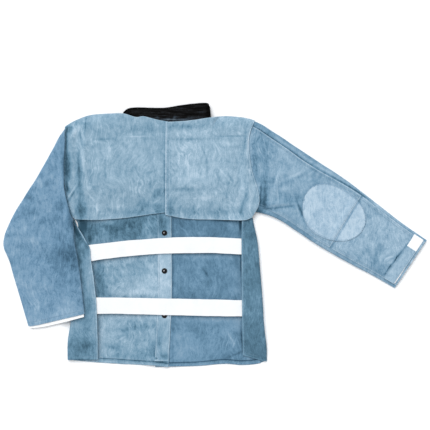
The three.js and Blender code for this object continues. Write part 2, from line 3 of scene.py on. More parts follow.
import bpy
import numpy as np
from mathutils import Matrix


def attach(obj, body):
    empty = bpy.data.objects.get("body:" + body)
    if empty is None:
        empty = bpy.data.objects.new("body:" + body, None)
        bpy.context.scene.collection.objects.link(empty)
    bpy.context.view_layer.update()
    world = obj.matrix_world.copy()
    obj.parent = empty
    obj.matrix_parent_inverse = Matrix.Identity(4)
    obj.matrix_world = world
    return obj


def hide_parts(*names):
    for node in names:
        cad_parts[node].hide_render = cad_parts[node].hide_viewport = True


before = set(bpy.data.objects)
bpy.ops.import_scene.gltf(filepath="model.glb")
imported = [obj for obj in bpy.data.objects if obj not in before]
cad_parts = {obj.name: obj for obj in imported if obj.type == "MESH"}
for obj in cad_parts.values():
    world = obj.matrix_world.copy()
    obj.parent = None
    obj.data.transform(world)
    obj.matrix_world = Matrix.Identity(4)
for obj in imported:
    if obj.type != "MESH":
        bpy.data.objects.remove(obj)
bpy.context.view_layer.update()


# A split-leather welding jacket with an open back, lying flat with its back upward
# Shapes are in millimetres, in the plan of the solids; a few edges lie some millimetres off theirs


# A table is a string of column names, then a row of values for each place, section or fold
def table(columns, rows):
    return dict(zip(columns.split(), np.array(rows, float).T))


# Thicknesses and clearances
LEATHER = 1.6
HALF = LEATHER / 2
GAP = 0.4
STEP = LEATHER + GAP
TRIM_GAP = 0.7
ELASTIC = 1.4
TAPE = 1.2
COLLAR_WALL = 2
PLAN_CENTRE = np.array([0.03, 0.02])
MILLIMETRE = 0.001

# Fineness of the meshes and softness of the cut edges
GRID = 2.6
HIDDEN_GRID = 4
HEM_GRID = 2.5
CURVE_STEPS = 400
EDGE_SOFT = 0.7
RIM = 0.35
TINY = 1e-9

# Front closing
STUD = Values(
    x=-147, cap_radius=7.5, cap=1.8, post=2.2, dome_radius=8, sides=40,
    wear=(-1.4, 0.5), wear_radius=1.9,
)
STUD_ROWS = [226, 116, 6, -104, -233]
# Stud profile: inset and height of the outer cap, then share of the dome's radius and height on its seat
STUD_CAP = [(1.6, 0), (0.4, 0.3), (0, 0.9), (0.2, STUD.cap)]
STUD_DOME = [
    (0.9625, 0), (1, 0.4), (0.9625, 0.9), (0.86, 1.15), (0.78, 0.9), (0.7, 0.95), (0.62, 1.5), (0.5, 2.1),
    (0.34, 2.5), (0.16, 2.6),
]
RIGHT_RAISE = STUD.cap + GAP
LEFT_RAISE = RIGHT_RAISE + STEP
FACING_LEVEL = HALF + LEFT_RAISE + STEP
FACING = Values(width=39, inset=1, start=0.02, end=0.95)
RIGHT_SLOPE = (-122, -88)
LEFT_SLOPE = (-222, -180)
HEM_DEPTH = 11
HEM_ROUND = 0.97
HEM_STEPS = 8
HEM_STACK = Values(rise=2.2, start=0.93, end=0.975)

# Levels of the upper layers, at the middle of the leather
YOKE = Values(
    level=22, seam=STEP + HALF, roll=42, side=0.22, left_edge=0.68, right_edge=0.84,
    lap=0.05, lap_end=0.14, corner_level=9, corner=0.12, neck_slope=0.12, neck_left=0.455,
    neck_right=0.53, sag=14, sag_from=0.6, sag_middle=0.68, sag_inner=0.3, sag_side=0.62,
    sag_end=0.95,
)
COLLAR_LEVEL = Values(
    front=9.6, back=19, drop=48, fold_depth=5, fold_drop=5, slant=3.5, slant_from=0.94,
)
ELASTIC_LEVEL = Values(end=14.2, middle=13.4)

# Back neckline and shoulder line from the middle outwards, and the free edges of the yoke
YOKE_TOP_LEFT = table("x y", [
    [-137, 328], [-165, 333], [-189, 339], [-210, 343.5], [-230, 341], [-265, 351], [-314, 351],
    [-363, 346], [-404, 332], [-434, 315],
])
YOKE_TOP_RIGHT = table("x y", [
    [-143, 327], [-102, 328.5], [-59, 333], [-12, 340.5], [31, 344], [72, 341], [95, 337], [114, 331],
])
YOKE_ARMHOLE_LEFT = table("x y", [
    [-434, 315], [-436, 296], [-437, 246], [-439, 188], [-434, 130], [-426, 84], [-417, 60], [-406, 46],
])
YOKE_LOWER_LEFT = table("x y", [[-137, 67], [-189, 60], [-265, 49.5], [-340, 44], [-406, 46]])
YOKE_ARMHOLE_RIGHT = table("x y", [
    [114, 331], [102, 299], [96, 264], [100, 223], [107, 183], [120, 142], [127.5, 107], [123.5, 81],
    [105.5, 50],
])
YOKE_LOWER_RIGHT = table("x y", [
    [-145, 59], [-102, 50], [-59, 46], [31, 44], [72, 42.5], [91, 44], [105.5, 50],
])

# Front panels: front neck and shoulder, closing edge, armhole and side seam, hem
FRONT_TOP_LEFT = table("x y", [
    [-134, 262], [-190, 272], [-240, 300], [-265, 348], [-314, 348], [-363, 343], [-404, 329], [-433, 312],
])
CLOSING_EDGE = table("x y", [
    [-134, 262], [-130, 160], [-127, 50], [-126, -63], [-126, -179], [-131, -300], [-136, -382],
])
FRONT_OUTER_LEFT = table("x y", [
    [-433, 312], [-432, 246], [-434, 188], [-429, 130], [-421, 84], [-408, 50], [-398, 30], [-400, -30],
    [-401.5, -110], [-403, -190], [-404, -246], [-409, -304], [-411, -362.5],
])
HEM_LEFT = table("x y", [[-136, -382], [-178, -377], [-236, -374.5], [-323, -370], [-411, -362.5]])
FRONT_TOP_RIGHT = table("x y", [
    [-174, 258], [-130, 262], [-90, 272], [-40, 296], [-12, 338], [31, 341], [72, 338], [95, 334],
    [104, 328],
])
FRONT_INNER_RIGHT = table("x y", [[-174, 258], [-174, 50], [-174, -179], [-174, -381]])
FRONT_OUTER_RIGHT = table("x y", [
    [104, 328], [93, 290], [89, 246], [94, 188], [104.5, 130], [108, 90], [102, 71], [96.5, 56], [99.5, 26],
    [104, -26], [111, -96], [117, -165], [123, -258], [126.5, -319], [131, -370.5],
])
HEM_RIGHT = table("x y", [
    [-174, -381], [-102, -380], [-44, -378], [28, -372], [72, -375.5], [104, -374.5], [131, -370.5],
])

# Side strips from the armpit to the hem: sewn edge, fold, free edge and level of the top layer
SIDE_LEFT = table("y seam fold edge level", [
    [46, -409, -416, -411.5, 4], [28, -402, -413, -402, 6], [5, -401, -413, -387, 11],
    [-17, -401.5, -414.5, -374, 16], [-40, -402, -415.5, -362.5, 18], [-67, -402.5, -416, -360, 18],
    [-130, -403.5, -417, -351, 18], [-188, -404.5, -417.5, -345, 18], [-246, -406, -418, -342, 18],
    [-304, -411, -426, -340.5, 16], [-361.5, -412.5, -427, -340, 12],
])
SIDE_RIGHT = table("y seam fold edge level", [
    [50, 98.5, 107.5, 78, 8], [26, 101, 112, 77, 14], [-26, 105.5, 122.5, 76, 18],
    [-96, 112.5, 128.5, 76.5, 18], [-165, 118.5, 134.5, 77, 18], [-258, 124.5, 140.5, 78, 18],
    [-319, 128, 147.5, 79, 15], [-365.5, 131.5, 149, 80, 7],
])
SIDE_FOLD = Values(depth=6, start=0.2, end=0.55, under_steps=4, bend_steps=14, slack=0.5)
# How much higher the free edge of a strip ends than its fold, and how much lower its sewn edge
SIDE_RISE = Values(left=1, right=17.5)
SIDE_DROP = Values(left=0, right=5)

# Sleeves from the armhole to the cuff: both folded edges in plan, height and lift of the inner edge
SLEEVE_RIGHT = table("outerX outerY innerX innerY loft lift", [
    [121, 328, 105, 70, 14, 0], [182, 289, 155, 58, 19, 0], [242, 248, 192, 41, 20, 0],
    [300, 210, 240, 10, 20, 0], [357, 173, 285, -21, 20, 0], [422.8, 125.6, 334.5, -50.8, 19, 0],
    [477.8, 82.6, 392.4, -83, 17, 0], [534.8, 38.6, 449.4, -113, 14, 0],
    [612.8, -14.4, 519.5, -153.8, 9, 0],
])
SLEEVE_LEFT = table("outerX outerY innerX innerY loft lift", [
    [-441, 305, -411, 46, 17, 5], [-471, 246, -409, 10, 17, 15], [-509.5, 177, -407, -20, 16, 20],
    [-550, 113, -402, -48, 15, 20.5], [-589, 47, -397, -75, 15, 20.5], [-613, -22, -391, -117, 14, 20.5],
    [-596, -74, -387, -150, 14, 20.5], [-578, -135, -383, -185, 13, 20.5],
    [-559, -200, -380, -210, 12, 20.5], [-540, -267, -378, -227.5, 12, 20.5],
])
ARMHOLE_RIGHT = table("dx dy", [[-10, 6], [-22, 0], [-25, 0], [-17, 0], [-2, 0], [5, 0], [0, 0]])
ARMHOLE_LEFT = table("dx dy", [[0, 0], [-3, 0], [-9, 0], [-12, 0], [-11, 0], [-6, 0], [0, 0]])
ARMHOLE_FADE = 0.2
LAP_RIGHT = table("dx", [[-9], [-9]])
LAP_LEFT = table("dx", [[5], [4], [2], [0], [-5], [-9], [-8]])
ARMHOLE_LAP = Values(fade=0.06, roll=3, roll_fade=0.015, under=-0.6)
LIFT_SLOPE = (-458, -421)
FULLNESS = Values(top=2.2, under=5)

# Seams and trims of the sleeves, as shares of their length and width
ELBOW = Values(t=0.634, skew=-0.032)
CUFF_STEP = 0.002
CUFF_CURVE = 0.027
SEAM_OUTER = table("w", [[0.05], [0.08], [0.1], [0.1], [0.08], [0.05], [0.05], [0.05], [0.05]])
SEAM_INNER = 0.945
SEAM_LEFT = 0.08
LAP = Values(full=10, share=0.034, length=0.012, depth=1.75, fade=13, probe=5)
PATCH = Values(
    t=0.5365, w=0.505, half_length=0.186, half_width=0.369, skew=-0.36, roundness=2.22,
    tip=1.5, seam_share=0.9, seam_shift=-0.0125, lap_fade=14,
)
CUFF = Values(
    start=0.941, end=0.983, flare=0.012, tape=(0.035, 0.93), tab=(0.272, 0.945),
    sliver=0.005, sliver_fade=(0.3, 0.8),
)
TAPE_LEFT = Values(start=0.02, end=0.992, inside=14, outside=10, under=3.4)

# Elastic bands and collar, from left to right
ELASTIC_UPPER = table("x top bottom", [
    [-375, -31, -78], [-323, -24, -69.5], [-265, -17.5, -62.5], [-178, -10.5, -55], [-91, -6.5, -52.5],
    [-4, -7, -52], [89, -11, -56.5],
])
ELASTIC_LOWER = table("x top bottom", [
    [-357, -180.5, -228], [-265, -181.5, -228], [-149, -184, -231], [-30, -186, -234], [92, -189, -235.5],
])
COLLAR = table("x top bottom", [
    [-268, 351, 340], [-262, 359, 335], [-250, 366.5, 330], [-228, 369, 327], [-189, 368, 326],
    [-146, 368, 319], [-102, 375, 320], [-59, 380, 325], [-33, 382, 329], [-22, 381, 330],
    [-16, 376.5, 331],
])
COLLAR_ROUND = Values(
    share=0.47, width=0.012, front=0.32, fold=0.06, front_steps=48, fold_steps=14,
    back_steps=80,
)
COLLAR_RIDGES = Values(height=0.5, count=2.6)

# Folds and creases: a line in plan, the width of its roll and its height, below zero for a valley
YOKE_FOLDS = table("x0 y0 x1 y1 width height", [
    [-417, 300, -420, 140, 9, 3.5], [-398, 306, -396, 180, 8, -2.5], [-380, 310, -382, 140, 11, 3],
    [-424, 132, -404, 84, 9, -2], [-368, 120, -346, 76, 10, -2], [62, 220, 76, 60, 10, -2.5],
    [84, 250, 102, 70, 10, 2.5], [-210, 270, -150, 262, 14, 1.5],
    [0, 286, 92, 285, 4, -0.7], [-250, 300, -150, 300, 6, -0.6], [-250, 283, -150, 282, 6, 0.9],
    [-140, 310, -30, 310, 4, -0.6], [-140, 291, -30, 290, 8, 0.8], [-140, 277, -30, 276, 4, -0.6],
    [20, 214, 48, 168, 7, 1.1],
    [-395, 318, -412, 292, 5, 1.3], [-383, 318, -381, 268, 3.5, -1.2], [-362, 140, -346, 96, 4, 0.9],
    [-344, 96, -343, 50, 4, 0.7], [78, 118, 66, 60, 6, -1.2], [96, 124, 92, 76, 6, 1.1],
    [-30, 120, 40, 108, 9, 0.8], [-120, 128, -40, 134, 7, -0.7],
])
SLEEVE_FOLDS = table("x0 y0 x1 y1 width height", [
    [145, 88, 212, 92, 9, 3], [145, 74, 205, 74, 6, -2.5], [170, 150, 225, 96, 10, -2],
    [196, 190, 240, 120, 12, 2], [-570, 20, -480, -40, 16, 2.5], [-560, -40, -470, -80, 12, -2],
    [188, 194, 168, 96, 6, 1.4], [150, 82, 236, 84, 4, -1.2], [236, 84, 252, 40, 7, -1.6],
    [210, 170, 300, 164, 9, -1.1], [-520, 150, -470, 60, 14, 1.2], [-470, 30, -430, -60, 12, -1.4],
    [-560, -140, -470, -150, 14, 1.2], [430, 40, 470, -10, 10, -1], [400, -20, 440, -60, 9, 0.9],
])
FRONT_FOLDS = table("x0 y0 x1 y1 width height", [
    [-330, -150, -170, -110, 24, 1.2], [-300, -300, -200, -270, 20, 1.1], [-60, -140, 40, -90, 26, 1.2],
    [-70, -320, 50, -290, 22, 1.1], [-300, -80, -220, -60, 16, 0.8], [-20, -260, 60, -330, 18, 0.9],
])
# How a fold fades in and out, as shares of its length
FOLD_START = (-0.25, 0.2)
FOLD_END = (0.8, 1.25)

# Layers of smooth random hills: height, size in plan and seed
HILLS = Values(count=64, start_x=31.7, start_y=31.3, height=1.5)
SLACK = [(0.9, 62, 11), (0.4, 26, 12), (0.14, 10, 13)]
LYING = Values(middle=0.5, most=1.2, layers=[(0.55, 80, 21), (0.22, 28, 22)])
CUTTING = Values(x=[(0.55, 48, 31), (0.25, 15, 32)], y=[(0.55, 48, 33), (0.25, 15, 34)])
MOTTLING = [(0.07, 75, 41), (0.06, 30, 42), (0.05, 12, 43)]
LEAST_MOTTLING = 0.5
ELASTIC_WAVES = [(0.25, 40, 51)]
RIDGE_WAVES = [(0.4, 70, 61)]

# About how long the sheets are along u and v, which sets the number of their grid steps
EXTENT = {
    "front_left": (285, 665), "front_right": (290, 675), "front_facing": (39, 620), "side": (400, 66),
    "yoke": (300, 292), "sleeve_right_upper": (400, 230), "sleeve_right_forearm": (245, 185),
    "sleeve_right_under": (640, 265), "elbow_patch_upper": (175, 165), "elbow_patch_lower": (70, 165),
    "cuff_tape_right": (33, 150), "cuff_tab_right": (33, 112), "sleeve_left_front": (600, 265),
    "sleeve_left_back": (600, 215), "cuff_tape_left": (23, 165),
}
ELASTIC_EXTENT = Values(length=465, width=48, width_step=2.4)
COLLAR_EXTENT = Values(width=45, width_step=2.2)


def lerp(start, end, share):
    return start + (end - start) * share


def smoothstep(value, low, high):
    share = np.clip((value - low) / (high - low), 0, 1)
    return share * share * (3 - 2 * share)


# All the columns of a table at t, from 0 at its first row to 1 at its last, on a smooth curve
def row_at(rows, t):
    last = len(next(iter(rows.values()))) - 1
    place = np.clip(t, 0, 1) * last
    index = np.minimum(np.floor(place).astype(int), last - 1)
    f = place - index
    found = {}
    for name, column in rows.items():
        before, here, after, beyond = (column[np.clip(index + k, 0, last)] for k in (-1, 0, 1, 2))
        slope = (after - before) / 2
        next_slope = (beyond - here) / 2
        drop = here - after
        square = -3 * drop - 2 * slope - next_slope
        cube = 2 * drop + slope + next_slope
        found[name] = here + slope * f + square * f**2 + cube * f**3
    return found


# A curve through the rows of a table, followed at an even pace from 0 to 1
def edge(rows):
    fine = np.linspace(0, 1, CURVE_STEPS + 1)
    course = row_at(rows, fine)
    lengths = np.concatenate([[0], np.cumsum(np.hypot(np.diff(course["x"]), np.diff(course["y"])))])

    def point(share):
        found = row_at(rows, np.interp(share, lengths / lengths[-1], fine))
        return np.stack([found["x"], found["y"]], -1)

    return point


# The plan inside four edges: u runs along top and bottom, v down the inner and the outer edge
def panel_plan(top_rows, bottom_rows, inner_rows, outer_rows):
    top, bottom, inner, outer = (edge(rows) for rows in (top_rows, bottom_rows, inner_rows, outer_rows))
    corners = [top(0.0), top(1.0), bottom(0.0), bottom(1.0)]

    def plan(u, v):
        across = lerp(top(u), bottom(u), v[..., None])
        down = lerp(inner(v), outer(v), u[..., None])
        upper = lerp(corners[0], corners[1], u[..., None])
        lower = lerp(corners[2], corners[3], u[..., None])
        return across + down - lerp(upper, lower, v[..., None])

    return plan


# Height that a table of folds adds at places in plan
def fold_height(folds, x, y):
    total = np.zeros(np.shape(x))
    for x0, y0, x1, y1, width, height in zip(*folds.values()):
        length = np.hypot(x1 - x0, y1 - y0)
        along = np.array([x1 - x0, y1 - y0]) / length
        share = ((x - x0) * along[0] + (y - y0) * along[1]) / length
        aside = ((x - x0) * along[1] - (y - y0) * along[0]) / width
        ends = smoothstep(share, *FOLD_START) * (1 - smoothstep(share, *FOLD_END))
        total += height * ends * np.exp(-aside * aside)
    return total


# Smooth random hills about -1 to 1 high, of a given size in plan
def hills(x, y, size, seed):
    angles = np.random.default_rng(seed).uniform(0, 2 * np.pi, (HILLS.count, HILLS.count))
    px, py = x / size + HILLS.start_x, y / size + HILLS.start_y
    ix, iy = np.floor(px).astype(int), np.floor(py).astype(int)
    fx, fy = px - ix, py - iy

    def corner(dx, dy):
        angle = angles[(ix + dx) % HILLS.count, (iy + dy) % HILLS.count]
        return np.cos(angle) * (fx - dx) + np.sin(angle) * (fy - dy)

    sx, sy = (f**3 * (f * (6 * f - 15) + 10) for f in (fx, fy))
    upper = lerp(corner(0, 0), corner(1, 0), sx)
    lower = lerp(corner(0, 1), corner(1, 1), sx)
    return HILLS.height * lerp(upper, lower, sy)


def layered(layers, x, y):
    return sum(height * hills(x, y, size, seed) for height, size, seed in layers)


# The uneven lie of the fronts, which only rise from the floor
def lying(x, y):
    swell = LYING.middle + layered(LYING.layers, x, y)
    return np.clip(swell, 0, LYING.most) + np.clip(fold_height(FRONT_FOLDS, x, y), 0, None)


# The slightly uneven cutting of all pieces, in plan
def uneven(points):
    x, y = points[..., 0], points[..., 1]
    moved = points.copy()
    moved[..., 0] += layered(CUTTING.x, x, y)
    moved[..., 1] += layered(CUTTING.y, x, y)
    return moved


# Shares of a length about one grid step apart, with one more close to either end
def stations(length, step=GRID):
    even = np.linspace(0, 1, max(round(length / step), 2) + 1)
    near = EDGE_SOFT / length
    return np.unique(np.concatenate([even, [near, 1 - near]]))


def grid(us, vs):
    return np.meshgrid(us, vs, indexing="ij")


def sheet_grid(name, step=GRID):
    return grid(*(stations(length, step) for length in EXTENT[name]))


def place(x, y, z):
    return np.stack(np.broadcast_arrays(x, y, z), -1).astype(float)


def normals(points):
    cross = np.cross(np.gradient(points, axis=0), np.gradient(points, axis=1))
    return cross / np.maximum(np.linalg.norm(cross, axis=2, keepdims=True), TINY)


def upward_normals(points):
    normal = normals(points)
    return normal * np.where(normal[..., 2:] < 0, -1, 1)


# Distance of every point of a grid from one of its sides, measured along the sheet
def side_distance(points, side):
    axis = 0 if side[0] == "u" else 1
    steps = np.linalg.norm(np.diff(points, axis=axis), axis=2)
    if side[1] == "1":
        steps = np.flip(steps, axis)
    total = np.cumsum(steps, axis)
    total = np.concatenate([np.zeros_like(np.take(total, [0], axis)), total], axis)
    return np.flip(total, axis) if side[1] == "1" else total


# Moves edges of a sheet inwards, to lie under the pieces that they are sewn to
def tucked(points, sides, faces_up):
    up = np.sign(normals(points)[LAP.probe, points.shape[1] // 2, 2])
    inward = -up if faces_up else up
    for side in sides:
        share = 1 - smoothstep(side_distance(points, side), LAP.full, LAP.full + LAP.fade)
        points = points + normals(points) * (inward * LAP.depth * share)[..., None]
    return points


def show(name, data):
    shown = bpy.data.objects.new(name, data)
    bpy.context.scene.collection.objects.link(shown)
    return shown


# A smooth mesh of points in millimetres
def link(name, vertices, faces, material):
    mesh = bpy.data.meshes.new(name)
    mesh.from_pydata(((vertices - [*PLAN_CENTRE, 0]) * MILLIMETRE).tolist(), [], faces)
    mesh.polygons.foreach_set("use_smooth", [True] * len(mesh.polygons))
    mesh.materials.append(material)
    mesh.update()
    return show(name, mesh)


# A closed sheet about a grid of middle points, with softly rounded cut edges
def closed_sheet(points, depth):
    normal = normals(points)
    turned = normal[points.shape[0] // 2, points.shape[1] // 2, 2] < 0
    if turned:
        normal = -normal
    rows, columns = points.shape[:2]
    number = np.arange(rows * columns).reshape(rows, columns)
    loop = np.concatenate([number[0, :-1], number[:-1, -1], number[-1, :0:-1], number[:0:-1, 0]])
    outward = np.zeros_like(points)
    outward[0] += points[0] - points[1]
    outward[-1] += points[-1] - points[-2]
    outward[:, 0] += points[:, 0] - points[:, 1]
    outward[:, -1] += points[:, -1] - points[:, -2]
    outward = outward.reshape(-1, 3)[loop]
    outward /= np.maximum(np.linalg.norm(outward, axis=1, keepdims=True), TINY)
    layer = rows * columns
    middle = points.reshape(-1, 3)[loop] + RIM * outward
    upper = (points + depth * normal).reshape(-1, 3)
    lower = (points - depth * normal).reshape(-1, 3)
    vertices = np.concatenate([upper, lower, middle])
    corners = (number[:-1, :-1], number[1:, :-1], number[1:, 1:], number[:-1, 1:])
    a, b, c, d = (corner.ravel() for corner in corners)
    top = np.stack([a, b, c, d], 1)
    bottom = np.stack([a, d, c, b], 1) + layer
    after = np.roll(loop, -1)
    rim = 2 * layer + np.arange(len(loop))
    rim_after = np.roll(rim, -1)
    high = np.stack([loop, after, rim_after, rim], 1)
    low = np.stack([rim, rim_after, after + layer, loop + layer], 1)
    faces = np.concatenate([top, bottom, high, low])
    if turned:
        faces = faces[:, ::-1]
    return vertices, faces, loop


def set_attribute(piece, name, values):
    attribute = piece.data.attributes.new(name, "FLOAT", "POINT")
    attribute.data.foreach_set("value", np.asarray(values, np.float32))


# Tone of the pieces, from 0 for dark to 1 for pale, and strength of their mottling
TONE = {
    "yoke_left": (0.55, 1.2), "yoke_right": (0.6, 1.3), "sleeve_right_upper": (0.57, 1.2),
    "sleeve_right_forearm": (0.62, 1.4), "sleeve_right_under": (0.35, 1), "elbow_patch_upper": (0.8, 1.2),
    "elbow_patch_lower": (0.86, 1.2), "cuff_tab_right": (0.68, 1), "sleeve_left_front": (0.37, 1.05),
    "sleeve_left_back": (0.4, 0.8), "front_left": (0.51, 1.25), "front_right": (0.28, 0.82),
    "front_facing": (0.78, 1), "side_left": (0.42, 1), "side_right": (0.2, 0.8), "collar": (0, 0.5),
}

# Painted shade and painted light of folds, creases, laps and the shadows cast by the upper layers, with
# other paler and darker patches: middle, half sizes across and along, turn and change of tone
SHADE_AND_TONE_MARKS = {
    "yoke_left": [
        [-404, 300, 8, 19, -50, 0.26], [-421, 309, 12, 10, -40, -0.3], [-395, 215, 4, 60, 2, -0.24],
        [-390, 288, 1.8, 16, 4, -0.5], [-381, 224, 6, 30, 4, 0.16], [-375, 319, 2.4, 22, -2, -0.36],
        [-381, 284, 3.5, 19, 19, 0.22], [-378, 261, 10, 4, 0, -0.2], [-380, 199, 4, 48, 11, 0.2],
        [-357, 107, 2, 21, 40, 0.36], [-343, 76, 2, 16, 0, 0.3], [-393, 150, 9, 50, 0, -0.28],
        [-417, 122, 1.8, 22, -33, 0.42], [-411, 120, 2, 22, -33, -0.34], [-421, 190, 8, 24, 0, -0.18],
        [-387, 68, 14, 32, 0, -0.46], [-152, 332, 24, 12, 0, -0.24], [-330, 268, 24, 3, -8, 0.18],
        [-188, 146, 4, 10, 0, -0.24], [-398, 326, 24, 8, -25, -0.14], [-165, 122, 22, 16, 10, -0.24],
        [-205, 86, 24, 10, 0, -0.2], [-280, 83, 40, 7, 0, 0.18], [-240, 66, 48, 12, 0, -0.2],
        [-160, 72, 14, 26, 0, -0.36], [-218, 307, 66, 12, 0, -0.18], [-224, 285, 28, 1.8, 0, 0.3],
        [-162, 192, 16, 34, 0, 0.14], [-147, 190, 2, 130, 0, -0.3], [-318, 186, 2.5, 26, 2, -0.24],
        [-325, 277, 22, 2.5, 2, -0.18],
    ],
    "yoke_right": [
        [-75, 200, 42, 46, 0, 0.14], [-93, 254, 30, 10, 2, 0.18], [-44, 238, 10, 14, 35, 0.16],
        [-31, 236, 2.4, 18, 20, -0.26], [-52, 172, 14, 10, -30, 0.14], [-93, 160, 30, 13, 2, 0.18],
        [-24, 203, 2.8, 24, 2, -0.24], [14, 188, 5, 20, 25, 0.2], [24, 178, 2.4, 26, 41, 0.26],
        [44, 166, 3, 14, 30, -0.28], [10, 164, 4, 16, 30, -0.2], [-84, 133, 50, 6, 2, -0.24],
        [-58, 142, 16, 10, 0, 0.14], [-40, 108, 60, 7, 0, 0.14], [-8, 102, 26, 8, 0, 0.18],
        [40, 286, 44, 1.6, 0, -0.34], [44, 264, 40, 8, 0, 0.16], [-70, 315, 56, 11, 3, -0.24],
        [-78, 291, 52, 8, 0, 0.14], [-78, 277, 50, 3, 0, -0.2], [-129, 80, 10, 28, 0, -0.42],
        [-129, 190, 3, 80, 0, -0.14], [-95, 74, 30, 10, 0, -0.16], [66, 294, 12, 5, 0, 0.28],
        [84, 270, 6, 50, -6, -0.2], [96, 262, 3, 40, -6, 0.28], [90, 212, 13, 12, 0, -0.2],
        [80, 118, 9, 20, 0, 0.22], [68, 104, 6, 30, -13, 0.2], [78, 82, 5, 22, -12, -0.4],
        [104, 104, 6, 34, -10, 0.22], [10, 66, 110, 12, 0, -0.24], [36, 130, 14, 24, 0, -0.14],
        [91, 124, 5, 28, -10, -0.24],
    ],
    "sleeve_left_front": [
        [-440, 205, 6, 60, 4, -0.22], [-560, 20, 40, 28, 0, 0.13], [-430, -70, 30, 80, 15, -0.17],
        [-545, 70, 30, 34, 30, -0.12], [-408, -70, 12, 40, 8, -0.14], [-422, 50, 9, 28, 0, -0.2],
        [-411, 32, 7, 12, 0, -0.35], [-443, 80, 8, 22, 0, -0.15], [-536, -14, 30, 11, 10, 0.16],
        [-515, -148, 60, 22, 0, 0.1], [-420, -212, 30, 26, 0, 0.18], [-480, -240, 90, 12, 12, 0.1],
        [-455, -58, 50, 40, 0, -0.1], [-542, 112, 16, 20, 0, -0.22], [-508, 152, 12, 16, 0, 0.2],
    ],
    "sleeve_right_upper": [
        [143, 120, 8, 50, 0, -0.4], [131, 118, 3.5, 44, -3, -0.4], [124, 268, 18, 44, 0, -0.2],
        [114, 200, 9, 44, 8, -0.26], [180, 171, 3.5, 27, -16, 0.22], [172, 165, 4, 34, -16, -0.16],
        [224, 171, 4, 40, -65, 0.16], [228, 162, 5, 42, -65, -0.18], [188, 80, 3, 52, -84, -0.2],
        [190, 87, 4, 44, -84, 0.14], [246, 72, 5, 28, 20, -0.4], [236, 76, 5, 24, 20, 0.16],
        [160, 70, 14, 10, 0, -0.2], [125, 190, 42, 130, 8, -0.1], [138, 82, 16, 18, 0, -0.3],
        [260, 66, 12, 26, 0, -0.2], [284, 132, 16, 30, -30, -0.26], [160, 255, 20, 34, 30, -0.14],
        [270, 90, 24, 56, -25, -0.1], [215, 98, 70, 26, 4, -0.24], [147, 214, 10, 56, 6, -0.2],
    ],
    "sleeve_right_forearm": [
        [472, -44, 13, 76, -21, -0.2], [480, -100, 30, 26, -35, -0.18], [438, 62, 12, 22, -20, -0.14],
        [430, -10, 10, 30, -35, 0.15], [518, -75, 2.2, 54, -37, -0.7],
    ],
    "sleeve_right_under": [
        [325, 182, 14, 50, 57, 0.2], [470, 88, 12, 40, 53, 0.2], [127, 70, 14, 9, 0, -0.35],
    ],
    "front_left": [
        [-260, 26, 160, 50, 0, -0.42], [-385, 24, 28, 28, 0, -0.36], [-343, 38, 24, 7, 0, 0.24],
        [-338, -110, 13, 80, 0, -0.28], [-215, -145, 60, 22, 15, 0.18], [-280, -84, 60, 15, 10, -0.12],
        [-310, -285, 28, 42, 0, 0.14], [-190, -280, 26, 50, 0, -0.12], [-250, -352, 110, 13, 2, -0.16],
        [-250, -238, 84, 8, 0, 0.18], [-250, -72, 70, 8, 4, 0.16], [-300, 38, 22, 9, 0, 0.18],
        [-193, 28, 12, 12, 0, 0.2], [-318, -150, 16, 30, -15, -0.2], [-325, -110, 3, 70, 0, -0.14],
        [-325, -288, 9, 24, 0, 0.2], [-272, -300, 2.5, 12, -60, 0.3], [-262, -306, 2.5, 10, -30, 0.25],
        [-298, -340, 16, 9, 0, 0.16], [-292, -327, 28, 6, -14, -0.2], [-250, -272, 60, 6, 4, -0.16],
        [-282, -344, 14, 7, 0, -0.2], [-180, -333, 18, 14, 0, -0.2], [-168, -320, 6, 30, 0, -0.24],
        [-230, -166, 64, 9, 0, 0.24], [-183, -140, 20, 36, 0, 0.18], [-263, -83, 4, 18, 27, 0.22],
        [-320, -172, 26, 8, 0, -0.2], [-364, -12, 7, 12, 0, -0.4], [-153, -361, 18, 12, 0, -0.55],
    ],
    "front_right": [
        [0, 26, 130, 36, 0, -0.1], [36, 42, 26, 4, 0, -0.3], [55, 26, 16, 20, 0, 0.14],
        [73, 34, 3.5, 18, 0, -0.6], [-123, -120, 3, 260, 0, -0.14], [-90, -335, 46, 40, 0, 0.16],
        [0, -243, 110, 8, 0, 0.16], [-20, -62, 100, 7, 0, 0.14], [60, -158, 16, 20, 0, 0.16],
        [55, -256, 24, 22, 0, 0.14], [46, -300, 2, 14, 30, 0.22], [54, -318, 2, 16, -20, 0.2],
        [76, -295, 1.8, 34, 4, -0.3], [60, -345, 34, 4, 24, -0.18], [75, -84, 2.5, 34, 0, -0.5],
        [62, -75, 9, 30, 0, -0.14], [-30, -107, 3, 20, 34, -0.18],
    ],
    "front_facing": [
        [-150, -300, 30, 66, 0, -0.26], [-162, -310, 9, 44, 0, -0.3], [-147, -354, 14, 12, 0, -0.5],
        [-150, 34, 30, 46, 0, -0.56], [-160, 34, 10, 40, 0, -0.2], [-140, -236, 24, 8, 0, 0.2],
    ],
    # Collar: pale streaks paint the sheen of its nap
    "collar": [
        [-185, 340, 5, 36, -99, 0.2], [-125, 333, 5, 40, -90, 0.24], [-66, 337, 5, 45, -84, 0.2],
        [-166, 341, 2.5, 3.5, 0, 0.3], [-137, 337, 3, 4, 0, 0.2], [-117, 340, 3.5, 5, 0, 0.3],
        [-22, 358, 7, 26, 0, -0.14],
    ],
    "side_left": [
        [-384, -318, 44, 16, 0, -0.14], [-390, -338, 50, 30, 0, -0.22], [-403, 20, 8, 28, 24, -0.65],
        [-394, -60, 9, 84, 7, -0.3], [-380, -58, 5, 16, 0, -0.3], [-372, -238, 14, 56, 0, -0.18],
        [-366, -14, 16, 30, 0, -0.44], [-360, -112, 10, 40, 5, 0.14], [-384, -360.5, 44, 2, 0, -0.4],
    ],
    "side_right": [[125, -335, 34, 30, 0, -0.1]],
}


